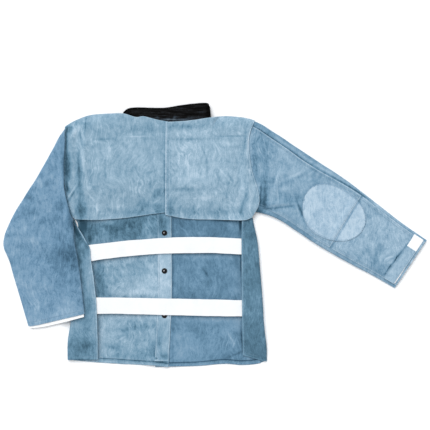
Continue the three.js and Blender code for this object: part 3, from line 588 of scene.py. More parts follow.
def tone_of(name, points):
    x, y = points[:, 0], points[:, 1]
    tone, mottling = TONE[name]
    tone = tone + mottling * layered(MOTTLING, x, y)
    # The marks paint shade and light of folds, laps and cast shadows into the tone
    for mark_x, mark_y, across, along, turn, change in SHADE_AND_TONE_MARKS.get(name, []):
        angle = np.radians(turn)
        aside = (x - mark_x) * np.cos(angle) + (y - mark_y) * np.sin(angle)
        ahead = (y - mark_y) * np.cos(angle) - (x - mark_x) * np.sin(angle)
        tone += change * np.exp(-((aside / across) ** 2 + (ahead / along) ** 2))
    return tone


# Painted shade and painted highlights in bands along the sides of pieces, at laps, seams, hems and folds:
# the side that they follow, how far in, half width, change of tone, start and end
LIGHT_AND_SHADE_BANDS = {
    "yoke_left": [
        ["u1", 5, 8, -0.54, 0.04, 0.7], ["u1", 16, 7, -0.22, 0.28, 0.58], ["u1", 1, 2.5, -0.4, 0.7, 0.95],
    ],
    "yoke_right": [["u0", 2.5, 2, 0.22, 0.02, 1], ["u0", 6.5, 2, -0.14, 0.02, 1]],
    "front_left": [["v1", 0.4, 2.2, -0.55, 0, 1]],
    "front_right": [["v1", 0.4, 2.2, -0.5, 0.1, 1]],
    "side_left": [["v1", 1.5, 2, 0.4, 0.09, 0.32], ["v1", 2, 2, 0.12, 0.32, 1]],
    "side_right": [["v1", 2, 2, 0.14, 0, 1]],
    "sleeve_left_front": [["u0", 2, 5, -0.4, 0.06, 0.42]],
    "sleeve_right_upper": [
        ["v1", 2, 2, 0.16, 0.02, 1], ["v1", 6, 1.8, -0.16, 0.02, 1], ["u1", 2, 2, 0.14, 0, 1],
    ],
    "sleeve_right_under": [
        ["v0", 10.5, 2.5, -0.34, 0.02, 0.68], ["v0", 17, 5, 0.18, 0.12, 0.68],
        ["v0", 13, 5, 0.2, 0.71, 0.98], ["v1", 13, 6, 0.14, 0.5, 0.98],
    ],
    "sleeve_right_forearm": [
        ["u0", 10.5, 2.2, -0.36, 0, 1], ["v1", 2, 2, 0.12, 0, 1], ["v0", 6, 2, -0.12, 0, 1],
    ],
    "elbow_patch_upper": [
        ["u0", 0.3, 1.7, -0.4, 0, 1], ["v0", 0.3, 1.7, -0.4, 0, 1], ["v1", 0.3, 1.7, -0.2, 0, 1],
        ["u1", 2, 2, 0.12, 0, 1],
    ],
    "elbow_patch_lower": [
        ["u0", 0.3, 1.8, -0.5, 0, 1], ["v0", 0.3, 1.8, -0.5, 0, 1], ["v1", 0.3, 1.8, -0.25, 0, 1],
        ["u1", 10.5, 2, -0.6, 0.02, 0.98],
    ],
    "cuff_tab_right": [["u0", 0.5, 2, -0.3, 0, 1]],
}
BAND_FADE = 0.03


# Strength of a band at every point of a sheet
def band(points, side, inset, width, start, end):
    aside = (side_distance(points, side) - inset) / width
    count = points.shape[1] if side[0] == "u" else points.shape[0]
    along = np.linspace(0, 1, count)
    opening = smoothstep(along, start - BAND_FADE, start + BAND_FADE)
    ends = opening * (1 - smoothstep(along, end - BAND_FADE, end + BAND_FADE))
    return np.exp(-aside * aside) * (ends[None, :] if side[0] == "u" else ends[:, None])


# Sewn lines of the pieces: the side that they follow, how far in, and the shares where they start and end
SEWN = {
    "front_left": [["v1", 5.5, 0.005, 0.99]],
    "front_right": [["v1", 5.5, 0.17, 0.99]],
    "front_facing": [["u0", 4, 0.01, 0.99], ["u1", 3, 0.01, 0.99]],
    "side_left": [["v1", 5, 0.02, 0.985], ["u1", 9, 0.58, 0.98]],
    "side_right": [["v1", 5, 0.02, 0.985], ["u1", 9, 0.58, 0.98]],
    "yoke_left": [["u1", 4, 0.03, 0.98]],
    "yoke_right": [["u0", 3.5, 0.01, 0.985], ["u0", 9.5, 0.01, 0.985], ["u1", 4, 0.03, 0.98]],
    "sleeve_right_upper": [
        ["v0", 3, 0.02, 0.99], ["v0", 9, 0.02, 0.99], ["v1", 3, 0.02, 0.99], ["v1", 9, 0.02, 0.99],
        ["u1", 3, 0.02, 0.98], ["u1", 9, 0.04, 0.96],
    ],
    "sleeve_right_forearm": [
        ["v0", 3, 0.05, 0.99], ["v0", 9, 0.05, 0.99], ["v1", 3, 0.05, 0.99], ["v1", 9, 0.05, 0.99],
    ],
    "elbow_patch_upper": [
        ["v0", 3.5, 0.08, 0.97], ["v1", 3.5, 0.08, 0.97], ["u0", 3.5, 0.1, 0.9], ["u1", 3, 0.03, 0.97],
    ],
    "elbow_patch_lower": [["v0", 3.5, 0.1, 0.88], ["v1", 3.5, 0.1, 0.88], ["u0", 3.5, 0.1, 0.9]],
    "cuff_tab_right": [["u1", 3, 0.02, 0.98], ["v0", 3, 0.1, 0.9]],
    "cuff_tape_right": [["u0", 2.5, 0.01, 0.99], ["u1", 2.5, 0.01, 0.99], ["v0", 2.5, 0.06, 0.94]],
    "sleeve_left_front": [["u1", 11, 0.1, 0.9]],
}
STITCH = Values(
    pitch=4.4, length=3.5, width=0.55, height=0.34, above=0.05, sides=6, dent=0.3,
    dent_width=1.5,
)
STITCH_RINGS = table("along size", [[-0.38, 0.7], [0, 1], [0.38, 0.7]])


# Points and upward normals of a sewn line on a sheet
def sewn_line(points, side, inset, start, end):
    distance = side_distance(points, side)
    normal = upward_normals(points)
    if side[0] == "u":
        distance = distance.T
        points, normal = points.transpose(1, 0, 2), normal.transpose(1, 0, 2)
    found = []
    for k in range(len(distance)):
        if not start <= k / (len(distance) - 1) <= end:
            continue
        order = np.argsort(distance[k])
        both = np.concatenate([points[k], normal[k]], 1)[order]
        found.append([np.interp(inset, distance[k][order], both[:, n]) for n in range(6)])
    found = np.array(found)
    return found[:, :3], found[:, 3:]


# Stitches along sewn lines: small closed beads of thread, half sunk in the leather
def stitches(name, lines, depth, material):
    sides = STITCH.sides
    round_angles = np.arange(sides) * 2 * np.pi / sides
    vertices, faces = [], []
    for points, normal in lines:
        length = np.concatenate([[0], np.cumsum(np.linalg.norm(np.diff(points, axis=0), axis=1))])
        count = int(length[-1] / STITCH.pitch)
        for k in range(count):
            centre = (k + 0.5) * length[-1] / count
            ends = [centre - STITCH.length / 2, centre + STITCH.length / 2]
            first, last = (np.array([np.interp(e, length, points[:, n]) for n in range(3)]) for e in ends)
            up = np.array([np.interp(centre, length, normal[:, n]) for n in range(3)])
            along = last - first
            aside = np.cross(up, along)
            aside /= np.linalg.norm(aside)
            middle = (first + last) / 2 + up * (depth + STITCH.above)
            start = len(vertices)
            vertices.append(middle - along / 2 - up * STITCH.height)
            for at, size in zip(*STITCH_RINGS.values()):
                for angle in round_angles:
                    across = aside * STITCH.width * np.cos(angle) + up * STITCH.height * np.sin(angle)
                    vertices.append(middle + along * at + across * size)
            vertices.append(middle + along / 2 - up * STITCH.height)
            final = len(vertices) - 1
            for s in range(sides):
                t = (s + 1) % sides
                faces.append((start, start + 1 + t, start + 1 + s))
                for ring in (0, sides):
                    a, b = start + 1 + ring + s, start + 1 + ring + t
                    faces.append((a, b, b + sides, a + sides))
                faces.append((final, final - sides + s, final - sides + t))
    return link(name, np.array(vertices), faces, material)


# Adds one sheet: its dents and stitches, its mesh and tone; it hangs the sheet on the root and hides the
# solid of the same name, and the slot only picks the thread
def add_sheet(name, points, finish, wall=LEATHER):
    material, slot = finish
    points = uneven(points)
    sewn = SEWN.get(name, [])
    lines = [sewn_line(points, *line) for line in sewn]
    dent = np.zeros(points.shape[:2])
    for side, inset, start, end in sewn:
        across = (side_distance(points, side) - inset) / STITCH.dent_width
        dent += STITCH.dent * np.exp(-across * across)
    shaped = points - upward_normals(points) * np.minimum(dent, STITCH.dent)[..., None]
    vertices, faces, loop = closed_sheet(shaped, wall / 2)
    piece = link(name, vertices, faces.tolist(), material)
    if name in TONE:
        distances = [side_distance(shaped, side).ravel() for side in ("u0", "u1", "v0", "v1")]
        border = np.minimum.reduce(distances)
        set_attribute(piece, "border", np.concatenate([border, border, np.zeros(len(loop))]))
        tone = tone_of(name, vertices)
        # The bands paint shade and highlights along laps, seams, hems and cut edges, on both faces
        for side, inset, width, change, start, end in LIGHT_AND_SHADE_BANDS.get(name, []):
            shade = change * band(shaped, side, inset, width, start, end).ravel()
            tone[:2 * len(shade)] += np.tile(shade, 2)
        set_attribute(piece, "tone", tone)
        strength = np.clip(LEAST_MOTTLING + tone, LEAST_MOTTLING, 1)
        set_attribute(piece, "mottling", TONE[name][1] * strength)
    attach(piece, "root")
    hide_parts(name)
    sewing = []
    if lines:
        thread = THREAD_WHITE if slot == "loop_tape" else THREAD
        sewing = [stitches("stitches_" + name, lines, wall / 2, thread)]
        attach(sewing[0], "root")
    return piece


# Noises of the materials: scale, detail, roughness and, for some, distortion
NOISES = {
    "cloud": (55, 8, 0.7, 0.6), "streak": (210, 6, 0.7, 0.3), "flow": (26, 4, 0.6, 0.8),
    "nap": (480, 4, 0.7), "fade": (12, 2, 0.5), "fleck": (380, 3, 0.6), "twist": (2600, 2, 0.5),
    "dirt": (40, 4, 0.6), "fuzz": (1100, 4, 0.7), "brushed": (170, 6, 0.7), "pile": (420, 4, 0.65),
    "rub_and_highlight": (700, 4, 0.6),
}


# A material and its shader nodes
class Look:
    def __init__(self, name, roughness, specular, **inputs):
        self.material = bpy.data.materials.new(name)
        self.material.use_nodes = True
        self.tree = self.material.node_tree
        self.shader = self.tree.nodes["Principled BSDF"]
        self.feed(self.shader, {"Roughness": roughness, "Specular IOR Level": specular})
        self.feed(self.shader, {key.replace("_", " "): value for key, value in inputs.items()})

    # Links the outputs of other nodes to the inputs of a node, and sets its plain inputs
    def feed(self, node, inputs):
        for key, value in inputs.items():
            if isinstance(value, bpy.types.NodeSocket):
                self.tree.links.new(value, node.inputs[key])
            else:
                node.inputs[key].default_value = value

    def add(self, kind, inputs, **settings):
        node = self.tree.nodes.new("ShaderNode" + kind)
        for key, value in settings.items():
            setattr(node, key, value)
        self.feed(node, inputs)
        return node.outputs

    def where(self):
        return self.add("TexCoord", {})["Object"]

    def vertex(self, name):
        return self.add("Attribute", {}, attribute_name=name)["Fac"]

    def math(self, operation, first, second=0):
        return self.add("Math", {0: first, 1: second}, operation=operation)["Value"]

    # How far a noise is from its middle, times an amount
    def swing(self, value, amount):
        return self.math("MULTIPLY", self.math("SUBTRACT", value, 0.5), amount)

    def noise(self, vector, name):
        settings = dict(zip(("Scale", "Detail", "Roughness", "Distortion"), NOISES[name]))
        return self.add("TexNoise", {"Vector": vector, **settings})["Fac"]

    def wave(self, vector, direction, scale, distortion):
        inputs = {"Vector": vector, "Scale": scale, "Distortion": distortion}
        return self.add("TexWave", inputs, bands_direction=direction)["Fac"]

    def stretched(self, vector, turn, scale):
        inputs = {"Vector": vector, "Rotation": (0, 0, np.radians(turn)), "Scale": scale}
        return self.add("Mapping", inputs)["Vector"]

    # Places drawn aside by a broad noise, for fibres that run in curves
    def swayed(self, vector, scale, amount):
        drift = self.add("TexNoise", {"Vector": vector, "Scale": scale, "Detail": 2})["Color"]
        inputs = {0: drift, 1: (amount, amount, 0), 2: vector}
        return self.add("VectorMath", inputs, operation="MULTIPLY_ADD")["Vector"]

    def bump(self, height, strength, distance):
        inputs = {"Height": height, "Strength": strength, "Distance": distance}
        self.feed(self.shader, {"Normal": self.add("Bump", inputs)["Normal"]})

    # Colours the shader along stops of position and colour
    def color(self, value, stops):
        ramp = self.tree.nodes.new("ShaderNodeValToRGB")
        elements = ramp.color_ramp.elements
        while len(elements) < len(stops):
            elements.new(0.5)
        for element, (position, color) in zip(elements, stops):
            element.position = position
            element.color = (*color, 1)
        self.feed(ramp, {"Fac": value})
        self.feed(self.shader, {"Base Color": ramp.outputs["Color"]})


# Colours of the dyed suede from its darkest to its palest tone; the darkest stops also colour the painted
# shade of folds, laps and cast shadows
SUEDE_STOPS = [
    (0.0, (0.024, 0.066, 0.108)), (0.25, (0.094, 0.189, 0.278)), (0.375, (0.142, 0.255, 0.362)),
    (0.5, (0.190, 0.302, 0.404)), (0.75, (0.285, 0.404, 0.506)), (1.0, (0.41, 0.52, 0.612)),
]
SUEDE_SHEEN = {"Sheen_Weight": 0.12, "Sheen_Roughness": 0.45, "Sheen_Tint": (0.75, 0.85, 0.95, 1)}
SUEDE = Values(
    sway=(9, 0.09), stretch=(1, 0.22, 1), cloud=0.62, streak=0.68, nap=0.6, vein=0.65,
    vein_sharpness=30, vein_from=0.36, rubbed_width=3, rough_from=0.8, rough_nap=0.2,
    streak_height=1.4,
)


# Napped split leather: cloudy dye, brushed streaks, pale veins, a fine nap and paler rubbed edges
def suede(name, turn, blue, rubbed):
    look = Look(name, roughness=0.95, specular=0.12, **SUEDE_SHEEN)
    where = look.where()
    brushed = look.stretched(look.swayed(where, *SUEDE.sway), turn, SUEDE.stretch)
    cloud, nap = look.noise(where, "cloud"), look.noise(where, "nap")
    streak, flow = look.noise(brushed, "streak"), look.noise(brushed, "flow")
    away = look.math("ABSOLUTE", look.math("SUBTRACT", flow, 0.5))
    vein = look.math("SUBTRACT", 1, look.math("MULTIPLY", away, SUEDE.vein_sharpness))
    fade = look.math("SUBTRACT", look.noise(where, "fade"), SUEDE.vein_from)
    vein = look.math("MULTIPLY", look.math("MAXIMUM", vein), look.math("MAXIMUM", fade))
    change = look.math("MULTIPLY", vein, SUEDE.vein)
    for value, amount in ((cloud, SUEDE.cloud), (streak, SUEDE.streak), (nap, SUEDE.nap)):
        change = look.math("ADD", change, look.swing(value, amount))
    change = look.math("MULTIPLY", change, look.vertex("mottling"))
    # The tone attribute carries the painted shade and light of the marks and bands
    tone = look.math("ADD", look.vertex("tone"), change)
    wear = {"Value": look.vertex("border"), "From Max": SUEDE.rubbed_width, "To Min": rubbed, "To Max": 0}
    tone = look.math("ADD", tone, look.add("MapRange", wear)["Result"])
    look.color(tone, [(at, (red, green, dye * lerp(blue, 1, at))) for at, (red, green, dye) in SUEDE_STOPS])
    rough = look.math("ADD", look.math("MULTIPLY", nap, SUEDE.rough_nap), SUEDE.rough_from)
    look.feed(look.shader, {"Roughness": rough})
    height = look.math("ADD", nap, look.math("MULTIPLY", streak, SUEDE.streak_height))
    look.bump(height, strength=0.55, distance=0.0007)
    return look.material


# Sewing thread: twisted, a little paler or darker from place to place
def thread(name, dark, light):
    look = Look(name, roughness=0.7, specular=0.25)
    where = look.where()
    look.color(look.noise(where, "fleck"), [(0.35, dark), (0.65, light)])
    look.bump(look.noise(where, "twist"), strength=0.4, distance=0.0003)
    return look.material


# White elastic: lengthwise cords crossed by fine ribs
def woven_elastic():
    look = Look("elastic", roughness=0.85, specular=0.2, Sheen_Weight=0.15)
    where = look.where()
    cords = look.wave(where, "Y", scale=95, distortion=0.4)
    ribs = look.wave(where, "X", scale=190, distortion=0.4)
    weave = look.math("MULTIPLY", cords, ribs)
    shade = look.math("ADD", weave, look.noise(where, "dirt"))
    look.color(shade, [(0.2, (0.72, 0.73, 0.75)), (1.0, (0.83, 0.84, 0.85))])
    look.bump(weave, strength=0.5, distance=0.0006)
    return look.material


# White loop tape: a dense fuzz of tiny loops
def loop_tape():
    look = Look("loop_tape", roughness=0.95, specular=0.1, Sheen_Weight=0.3)
    fuzz = look.noise(look.where(), "fuzz")
    look.color(fuzz, [(0.3, (0.82, 0.83, 0.84)), (0.7, (0.93, 0.935, 0.94))])
    look.bump(fuzz, strength=0.8, distance=0.001)
    return look.material


# Black collar cloth: a soft nap brushed along the collar, with its sheen painted into the colour as paler
# streaks; the collar's marks add painted streaks of highlight
# Colours of the collar cloth, from black to the pale bluish grey that paints its sheen
COLLAR_STOPS = [
    (0.36, (0.001, 0.0009, 0.0009)), (0.5, (0.004, 0.0039, 0.0039)), (0.62, (0.011, 0.0112, 0.012)),
    (0.78, (0.028, 0.04, 0.053)), (1.0, (0.11, 0.14, 0.165)),
]
COLLAR_NAP = Values(turn=-6, stretch=(0.12, 1, 1), pile=0.5, brushed_height=2)


def collar_cloth():
    look = Look("collar_cloth", roughness=0.85, specular=0.03)
    where = look.where()
    brushed = look.noise(look.stretched(where, COLLAR_NAP.turn, COLLAR_NAP.stretch), "brushed")
    pile = look.noise(where, "pile")
    nap_and_sheen = look.math("ADD", brushed, look.swing(pile, COLLAR_NAP.pile))
    look.color(look.math("ADD", nap_and_sheen, look.vertex("tone")), COLLAR_STOPS)
    height = look.math("ADD", look.math("MULTIPLY", brushed, COLLAR_NAP.brushed_height), pile)
    look.bump(height, strength=0.6, distance=0.0012)
    return look.material


# Black lacquered metal, a little rubbed here and there; its pale stops paint a highlight on each crown
LACQUER_STOPS = [
    (0.3, (0.002, 0.002, 0.0025)), (0.5, (0.01, 0.01, 0.011)), (0.66, (0.16, 0.16, 0.17)),
    (0.82, (0.8, 0.8, 0.82)),
]
LACQUER = Values(shine=0.6, rough_rub=0.2, rough_from=0.15)


def lacquer():
    look = Look("stud", roughness=0.28, specular=0.12, Coat_Weight=0.08, Coat_Roughness=0.15)
    # Rubbed lacquer, plus the painted highlight on the crown
    rub_and_highlight = look.math("ADD", look.noise(look.where(), "rub_and_highlight"), look.vertex("painted_highlight"))
    look.color(look.math("MULTIPLY", rub_and_highlight, LACQUER.shine), LACQUER_STOPS)
    rough = look.math("ADD", look.math("MULTIPLY", rub_and_highlight, LACQUER.rough_rub), LACQUER.rough_from)
    look.feed(look.shader, {"Roughness": rough})
    return look.material


# Finishes: a material and its slot
THREAD = thread("thread", dark=(0.10, 0.19, 0.27), light=(0.24, 0.36, 0.46))
THREAD_WHITE = thread("thread_white", dark=(0.62, 0.63, 0.65), light=(0.8, 0.81, 0.82))
BODY_SUEDE = (suede("suede_body", turn=0, blue=0.94, rubbed=0.14), "suede")
FRONT_SUEDE = (suede("suede_front", turn=80, blue=1, rubbed=0.14), "suede")
RIGHT_SUEDE = (suede("suede_sleeve_right", turn=55, blue=0.98, rubbed=0.14), "suede")
LEFT_SUEDE = (suede("suede_sleeve_left", turn=78, blue=1.03, rubbed=0.1), "suede")
PALE_SUEDE = (suede("suede_pale", turn=30, blue=1.02, rubbed=0), "suede_light")
ELASTIC_FINISH = (woven_elastic(), "elastic")
TAPE_FINISH = (loop_tape(), "loop_tape")
COLLAR_FINISH = (collar_cloth(), "collar_cloth")
STUD_FINISH = lacquer()


# A front panel, flat on the floor but for its closing edge, with the hem folded up on the inside
def front_panel(name, plan, raised):
    width, length = EXTENT[name]
    flat = stations(length - HEM_ROUND) * (length - HEM_ROUND)
    bend = flat[-1] + np.linspace(0, HEM_ROUND * np.pi, HEM_STEPS + 1)[1:]
    turn_up = bend[-1] + stations(HEM_DEPTH, HEM_GRID)[1:] * HEM_DEPTH
    u, s = grid(stations(width), np.concatenate([flat, bend, turn_up]))
    angle = np.clip((s - flat[-1]) / HEM_ROUND, 0, np.pi)
    down = np.minimum(s, flat[-1]) + HEM_ROUND * np.sin(angle) - np.maximum(s - bend[-1], 0)
    x, y = np.moveaxis(plan(u, down / length), -1, 0)
    z = HALF + raised(x, down / length) + lying(x, y) + HEM_ROUND * (1 - np.cos(angle))
    return place(x, y, z)


def left_raise(x, v):
    stack = HEM_STACK.rise * smoothstep(v, HEM_STACK.start, HEM_STACK.end)
    return (LEFT_RAISE + stack) * smoothstep(x, *LEFT_SLOPE)


def right_raise(x, v):
    return RIGHT_RAISE * (1 - smoothstep(x, *RIGHT_SLOPE))


def add_fronts():
    left = panel_plan(FRONT_TOP_LEFT, HEM_LEFT, CLOSING_EDGE, FRONT_OUTER_LEFT)
    right = panel_plan(FRONT_TOP_RIGHT, HEM_RIGHT, FRONT_INNER_RIGHT, FRONT_OUTER_RIGHT)
    add_sheet("front_left", front_panel("front_left", left, left_raise), BODY_SUEDE)
    add_sheet("front_right", front_panel("front_right", right, right_raise), FRONT_SUEDE)
    u, v = sheet_grid("front_facing")
    share = lerp(FACING.start, FACING.end, v)
    row = row_at(CLOSING_EDGE, share)
    x = row["x"] - FACING.inset - u * FACING.width
    z = FACING_LEVEL + lying(x, row["y"]) + left_raise(x, share) - LEFT_RAISE
    add_sheet("front_facing", place(x, row["y"], z), BODY_SUEDE)


# Press studs: outer cap under both panels, post through them, ringed and domed cap inside
def add_studs():
    seat = FACING_LEVEL + HALF + GAP
    profile = [(STUD.cap_radius - inset, z) for inset, z in STUD_CAP]
    profile += [(STUD.post, STUD.cap), (STUD.post, seat)]
    profile += [(STUD.dome_radius * share, seat + z) for share, z in STUD_DOME]
    radius, height = np.array(profile).T
    sides, rings = STUD.sides, len(profile)
    angles = 2 * np.pi * np.arange(sides) / sides
    faces = [tuple(range(sides))[::-1], tuple(range((rings - 1) * sides, rings * sides))]
    for ring in range(rings - 1):
        for s in range(sides):
            a, b = ring * sides + s, ring * sides + (s + 1) % sides
            faces.append((a, b, b + sides, a + sides))
    for k, stud_y in enumerate(STUD_ROWS):
        x = STUD.x + np.outer(radius, np.cos(angles))
        y = stud_y + np.outer(radius, np.sin(angles))
        z = height + lying(STUD.x, stud_y) * (height > STUD.cap)
        name = f"snap_{k + 1}"
        vertices = place(x, y, z[:, None]).reshape(-1, 3)
        stud = link(name, vertices, faces, STUD_FINISH)
        # A painted highlight: a pale spot on each crown, a little off its middle
        spot = [STUD.x + STUD.wear[0], stud_y + STUD.wear[1]]
        away = np.linalg.norm(vertices[:, :2] - spot, axis=1)
        set_attribute(stud, "painted_highlight", np.exp(-(away / STUD.wear_radius) ** 2))
        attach(stud, "root")
        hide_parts(name)


# A side strip: from its sewn edge on the underside, round the fold, to its free edge on top
def add_side(name, rows, edge_rise, seam_drop):
    start, end, depth = SIDE_FOLD.start, SIDE_FOLD.end, SIDE_FOLD.depth
    length, width = EXTENT["side"]
    under = np.linspace(0, start, SIDE_FOLD.under_steps + 1)
    bent = np.linspace(start, end, SIDE_FOLD.bend_steps + 1)[1:]
    u, v = grid(stations(length), np.concatenate([under, bent, lerp(end, 1, stations(width)[1:])]))
    row = row_at(rows, u)
    inward = np.sign(row["edge"] - row["fold"])
    bend = row["fold"] + inward * depth
    turn = np.pi * np.clip((v - start) / (end - start), 0, 1)
    x = bend - inward * depth * np.sin(turn)
    x = np.where(v < start, lerp(row["seam"], bend, v / start), x)
    x = np.where(v > end, lerp(bend, row["edge"], (v - end) / (1 - end)), x)
    y = row["y"] + edge_rise * u * np.clip((v - end) / (1 - end), 0, 1)
    y = y - seam_drop * u * (1 - np.clip(v / start, 0, 1))
    rise = (1 - np.cos(turn)) / 2
    z = lerp(HALF, row["level"], rise) + SIDE_FOLD.slack * layered(SLACK, x, y) * rise
    add_sheet(name, place(x, y, z), BODY_SUEDE)


# Half of the yoke: low at the shoulder seam, high at the neckline and over the open back
def add_yoke_half(name, top, lower, armhole, neck_share, side_level, corner_level, lap):
    inner = {k: np.array([top[k][0], lower[k][0]]) for k in ("x", "y")}
    plan = panel_plan(top, lower, inner, armhole)
    u, v = sheet_grid("yoke")
    x, y = np.moveaxis(plan(u, v), -1, 0)
    depth = np.linalg.norm(plan(u, np.zeros_like(v)) - plan(u, v), axis=-1)
    rise = np.sqrt(1 - (1 - np.minimum(depth / YOKE.roll, 1)) ** 2)
    neck = 1 - smoothstep(u, neck_share, neck_share + YOKE.neck_slope)
    side = lerp(1, side_level, smoothstep(u, 1 - YOKE.side, 1))
    seam = lerp(YOKE.seam, corner_level, smoothstep(u, 1 - YOKE.corner, 1))
    level = lerp(seam, YOKE.level * side, np.maximum(rise, neck))
    over = lap * (1 - smoothstep(u, YOKE.lap, YOKE.lap_end))
    hanging = lerp(YOKE.sag_middle, 1, smoothstep(u, YOKE.lap, YOKE.sag_inner))
    hanging = hanging * (1 - smoothstep(u, YOKE.sag_side, YOKE.sag_end))
    sag = YOKE.sag * hanging * smoothstep(v, YOKE.sag_from, 1)
    loose = rise * (1 - neck * (1 - v))
    z = level + over - sag + (fold_height(YOKE_FOLDS, x, y) + layered(SLACK, x, y)) * loose
    add_sheet(name, place(x, y, z), BODY_SUEDE)


# A flattened sleeve's middle surface at share t along it, turned from the inner edge over the top
def sleeve_surface(rows, armhole, lap, roll):
    def point(t, turn):
        row = row_at(rows, t)
        w = 0.5 + 0.5 * np.cos(turn)
        side = np.sin(turn)
        power = np.where(side > 0, FULLNESS.top, FULLNESS.under)
        full = np.sign(side) * (1 - (1 - np.abs(side)) ** power)
        bulge = row_at(armhole, w)
        near = 1 - smoothstep(t, 0, ARMHOLE_FADE)
        over = (1 - smoothstep(t, 0, ARMHOLE_LAP.fade)) * smoothstep(side, ARMHOLE_LAP.under, 0)
        x = lerp(row["outerX"], row["innerX"], w) + bulge["dx"] * near + row_at(lap, w)["dx"] * over
        y = lerp(row["outerY"], row["innerY"], w) + bulge["dy"] * near
        lift = row["lift"] * smoothstep(x, *LIFT_SLOPE)
        lie = (fold_height(SLEEVE_FOLDS, x, y) + layered(SLACK, x, y)) * np.maximum(side, 0)
        curl = roll * (1 - smoothstep(t, 0, ARMHOLE_LAP.roll_fade)) * np.maximum(side, 0)
        return place(x, y, HALF + lift + row["loft"] * (0.5 + 0.5 * full) + lie - curl)

    return point


def turn_at(w):
    return np.arccos(2 * w - 1)


# A panel of a sleeve between two ends, given by w, and two turns, given by t
def sleeve_panel(name, surface, start, end, start_turn, end_turn, step=GRID):
    u, v = sheet_grid(name, step)
    w = lerp(0.5 + 0.5 * np.cos(start_turn(u)), 0.5 + 0.5 * np.cos(end_turn(u)), v)
    t = lerp(start(w), end(w), u)
    return surface(t, lerp(start_turn(t), end_turn(t), v))


# An end or a turn that is the same everywhere
def always(value):
    return lambda share: value


def elbow(w):
    return ELBOW.t + ELBOW.skew * w


def tucked_elbow(w):
    return elbow(w) - LAP.length


# The left cuff is a little longer in the middle than at its folded edges
def curved_end(w):
    return 1 - CUFF_CURVE * (2 * w - 1) ** 2


def outer_seam(t):
    return turn_at(row_at(SEAM_OUTER, t)["w"])


def under_outer_seam(t):
    return turn_at(row_at(SEAM_OUTER, t)["w"] + LAP.share)


# Half of the elbow patch, from its tip to the seam, on the right sleeve's top
def elbow_patch(name, on_top, tip, lap):
    u, v = sheet_grid(name)
    seam = elbow(PATCH.w + PATCH.seam_share * PATCH.half_width * (2 * v - 1))
    seam = np.arcsin((seam + lap + PATCH.seam_shift - PATCH.t) / PATCH.half_length)
    s = np.sin(lerp(tip, seam, u))
    half_width = PATCH.half_width * (1 - np.abs(s) ** PATCH.roundness) ** (1 / PATCH.roundness)
    away = PATCH.half_length * s
    w = PATCH.w + PATCH.skew * away + half_width * (2 * v - 1)
    return on_top(PATCH.t + away, w, LEATHER + TRIM_GAP)


def add_right_sleeve():
    surface = sleeve_surface(SLEEVE_RIGHT, ARMHOLE_RIGHT, LAP_RIGHT, 0)

    def on_top(t, w, height):
        return surface(t, turn_at(w)) + np.array([0, 0, height])

    inner_seam = always(turn_at(SEAM_INNER))
    under_inner_seam = always(2 * np.pi + turn_at(SEAM_INNER - LAP.share))
    upper = sleeve_panel("sleeve_right_upper", surface, always(0), elbow, inner_seam, outer_seam)
    forearm = sleeve_panel("sleeve_right_forearm", surface, tucked_elbow, always(1 - CUFF_STEP),
                           inner_seam, outer_seam)
    under = sleeve_panel("sleeve_right_under", surface, always(0), always(1),
                         under_outer_seam, under_inner_seam, HIDDEN_GRID)
    add_sheet("sleeve_right_upper", upper, RIGHT_SUEDE)
    add_sheet("sleeve_right_forearm", tucked(forearm, ["u0"], True), RIGHT_SUEDE)
    add_sheet("sleeve_right_under", tucked(under, ["v0", "v1"], False), RIGHT_SUEDE)

    patch = elbow_patch("elbow_patch_upper", on_top, -PATCH.tip, LAP.length)
    from_seam = side_distance(patch, "u1")
    patch[..., 2] += LAP.depth * (1 - smoothstep(from_seam, LAP.full, LAP.full + PATCH.lap_fade))
    add_sheet("elbow_patch_upper", patch, PALE_SUEDE)
    add_sheet("elbow_patch_lower", elbow_patch("elbow_patch_lower", on_top, PATCH.tip, 0), PALE_SUEDE)

    tape_height = HALF + TRIM_GAP + TAPE / 2
    u, v = sheet_grid("cuff_tape_right")
    tape = on_top(lerp(CUFF.start, CUFF.end, u), lerp(*CUFF.tape, v), tape_height)
    add_sheet("cuff_tape_right", tape, TAPE_FINISH, TAPE)
    u, v = sheet_grid("cuff_tab_right")
    sliver = CUFF.sliver * smoothstep(v, *CUFF.sliver_fade)
    along = lerp(CUFF.start - CUFF.flare * v, CUFF.end - sliver, u)
    tab = on_top(along, lerp(*CUFF.tab, v), tape_height + TAPE / 2 + TRIM_GAP + HALF)
    add_sheet("cuff_tab_right", tab, RIGHT_SUEDE)


def add_left_sleeve():
    surface = sleeve_surface(SLEEVE_LEFT, ARMHOLE_LEFT, LAP_LEFT, ARMHOLE_LAP.roll)
    seam = turn_at(1 - SEAM_LEFT)
    inside_seam = turn_at(1 - SEAM_LEFT + LAP.share)
    front = sleeve_panel("sleeve_left_front", surface, always(0), curved_end,
                         always(-seam), always(np.pi + seam))
    back = sleeve_panel("sleeve_left_back", surface, always(0), curved_end,
                        always(np.pi + inside_seam), always(2 * np.pi - inside_seam), HIDDEN_GRID)
    add_sheet("sleeve_left_front", front, LEFT_SUEDE)
    add_sheet("sleeve_left_back", tucked(back, ["v0", "v1"], False), LEFT_SUEDE)
    u, v = sheet_grid("cuff_tape_left")
    w = lerp(TAPE_LEFT.start, TAPE_LEFT.end, v)
    tape = surface(curved_end(lerp(SEAM_LEFT, 1 - SEAM_LEFT, w)), turn_at(w))
    tape[..., 1] += lerp(TAPE_LEFT.inside, -TAPE_LEFT.outside, u)
    tape[..., 2] -= TAPE_LEFT.under
    add_sheet("cuff_tape_left", tape, TAPE_FINISH, TAPE)


def add_elastic(name, rows):
    across = stations(ELASTIC_EXTENT.width, ELASTIC_EXTENT.width_step)
    u, v = grid(stations(ELASTIC_EXTENT.length), across)
    row = row_at(rows, u)
    level = lerp(ELASTIC_LEVEL.end, ELASTIC_LEVEL.middle, np.sin(np.pi * u))
    y = lerp(row["top"], row["bottom"], v)
    level = level + layered(ELASTIC_WAVES, row["x"], y)
    add_sheet(name, place(row["x"], y, level), ELASTIC_FINISH, ELASTIC)


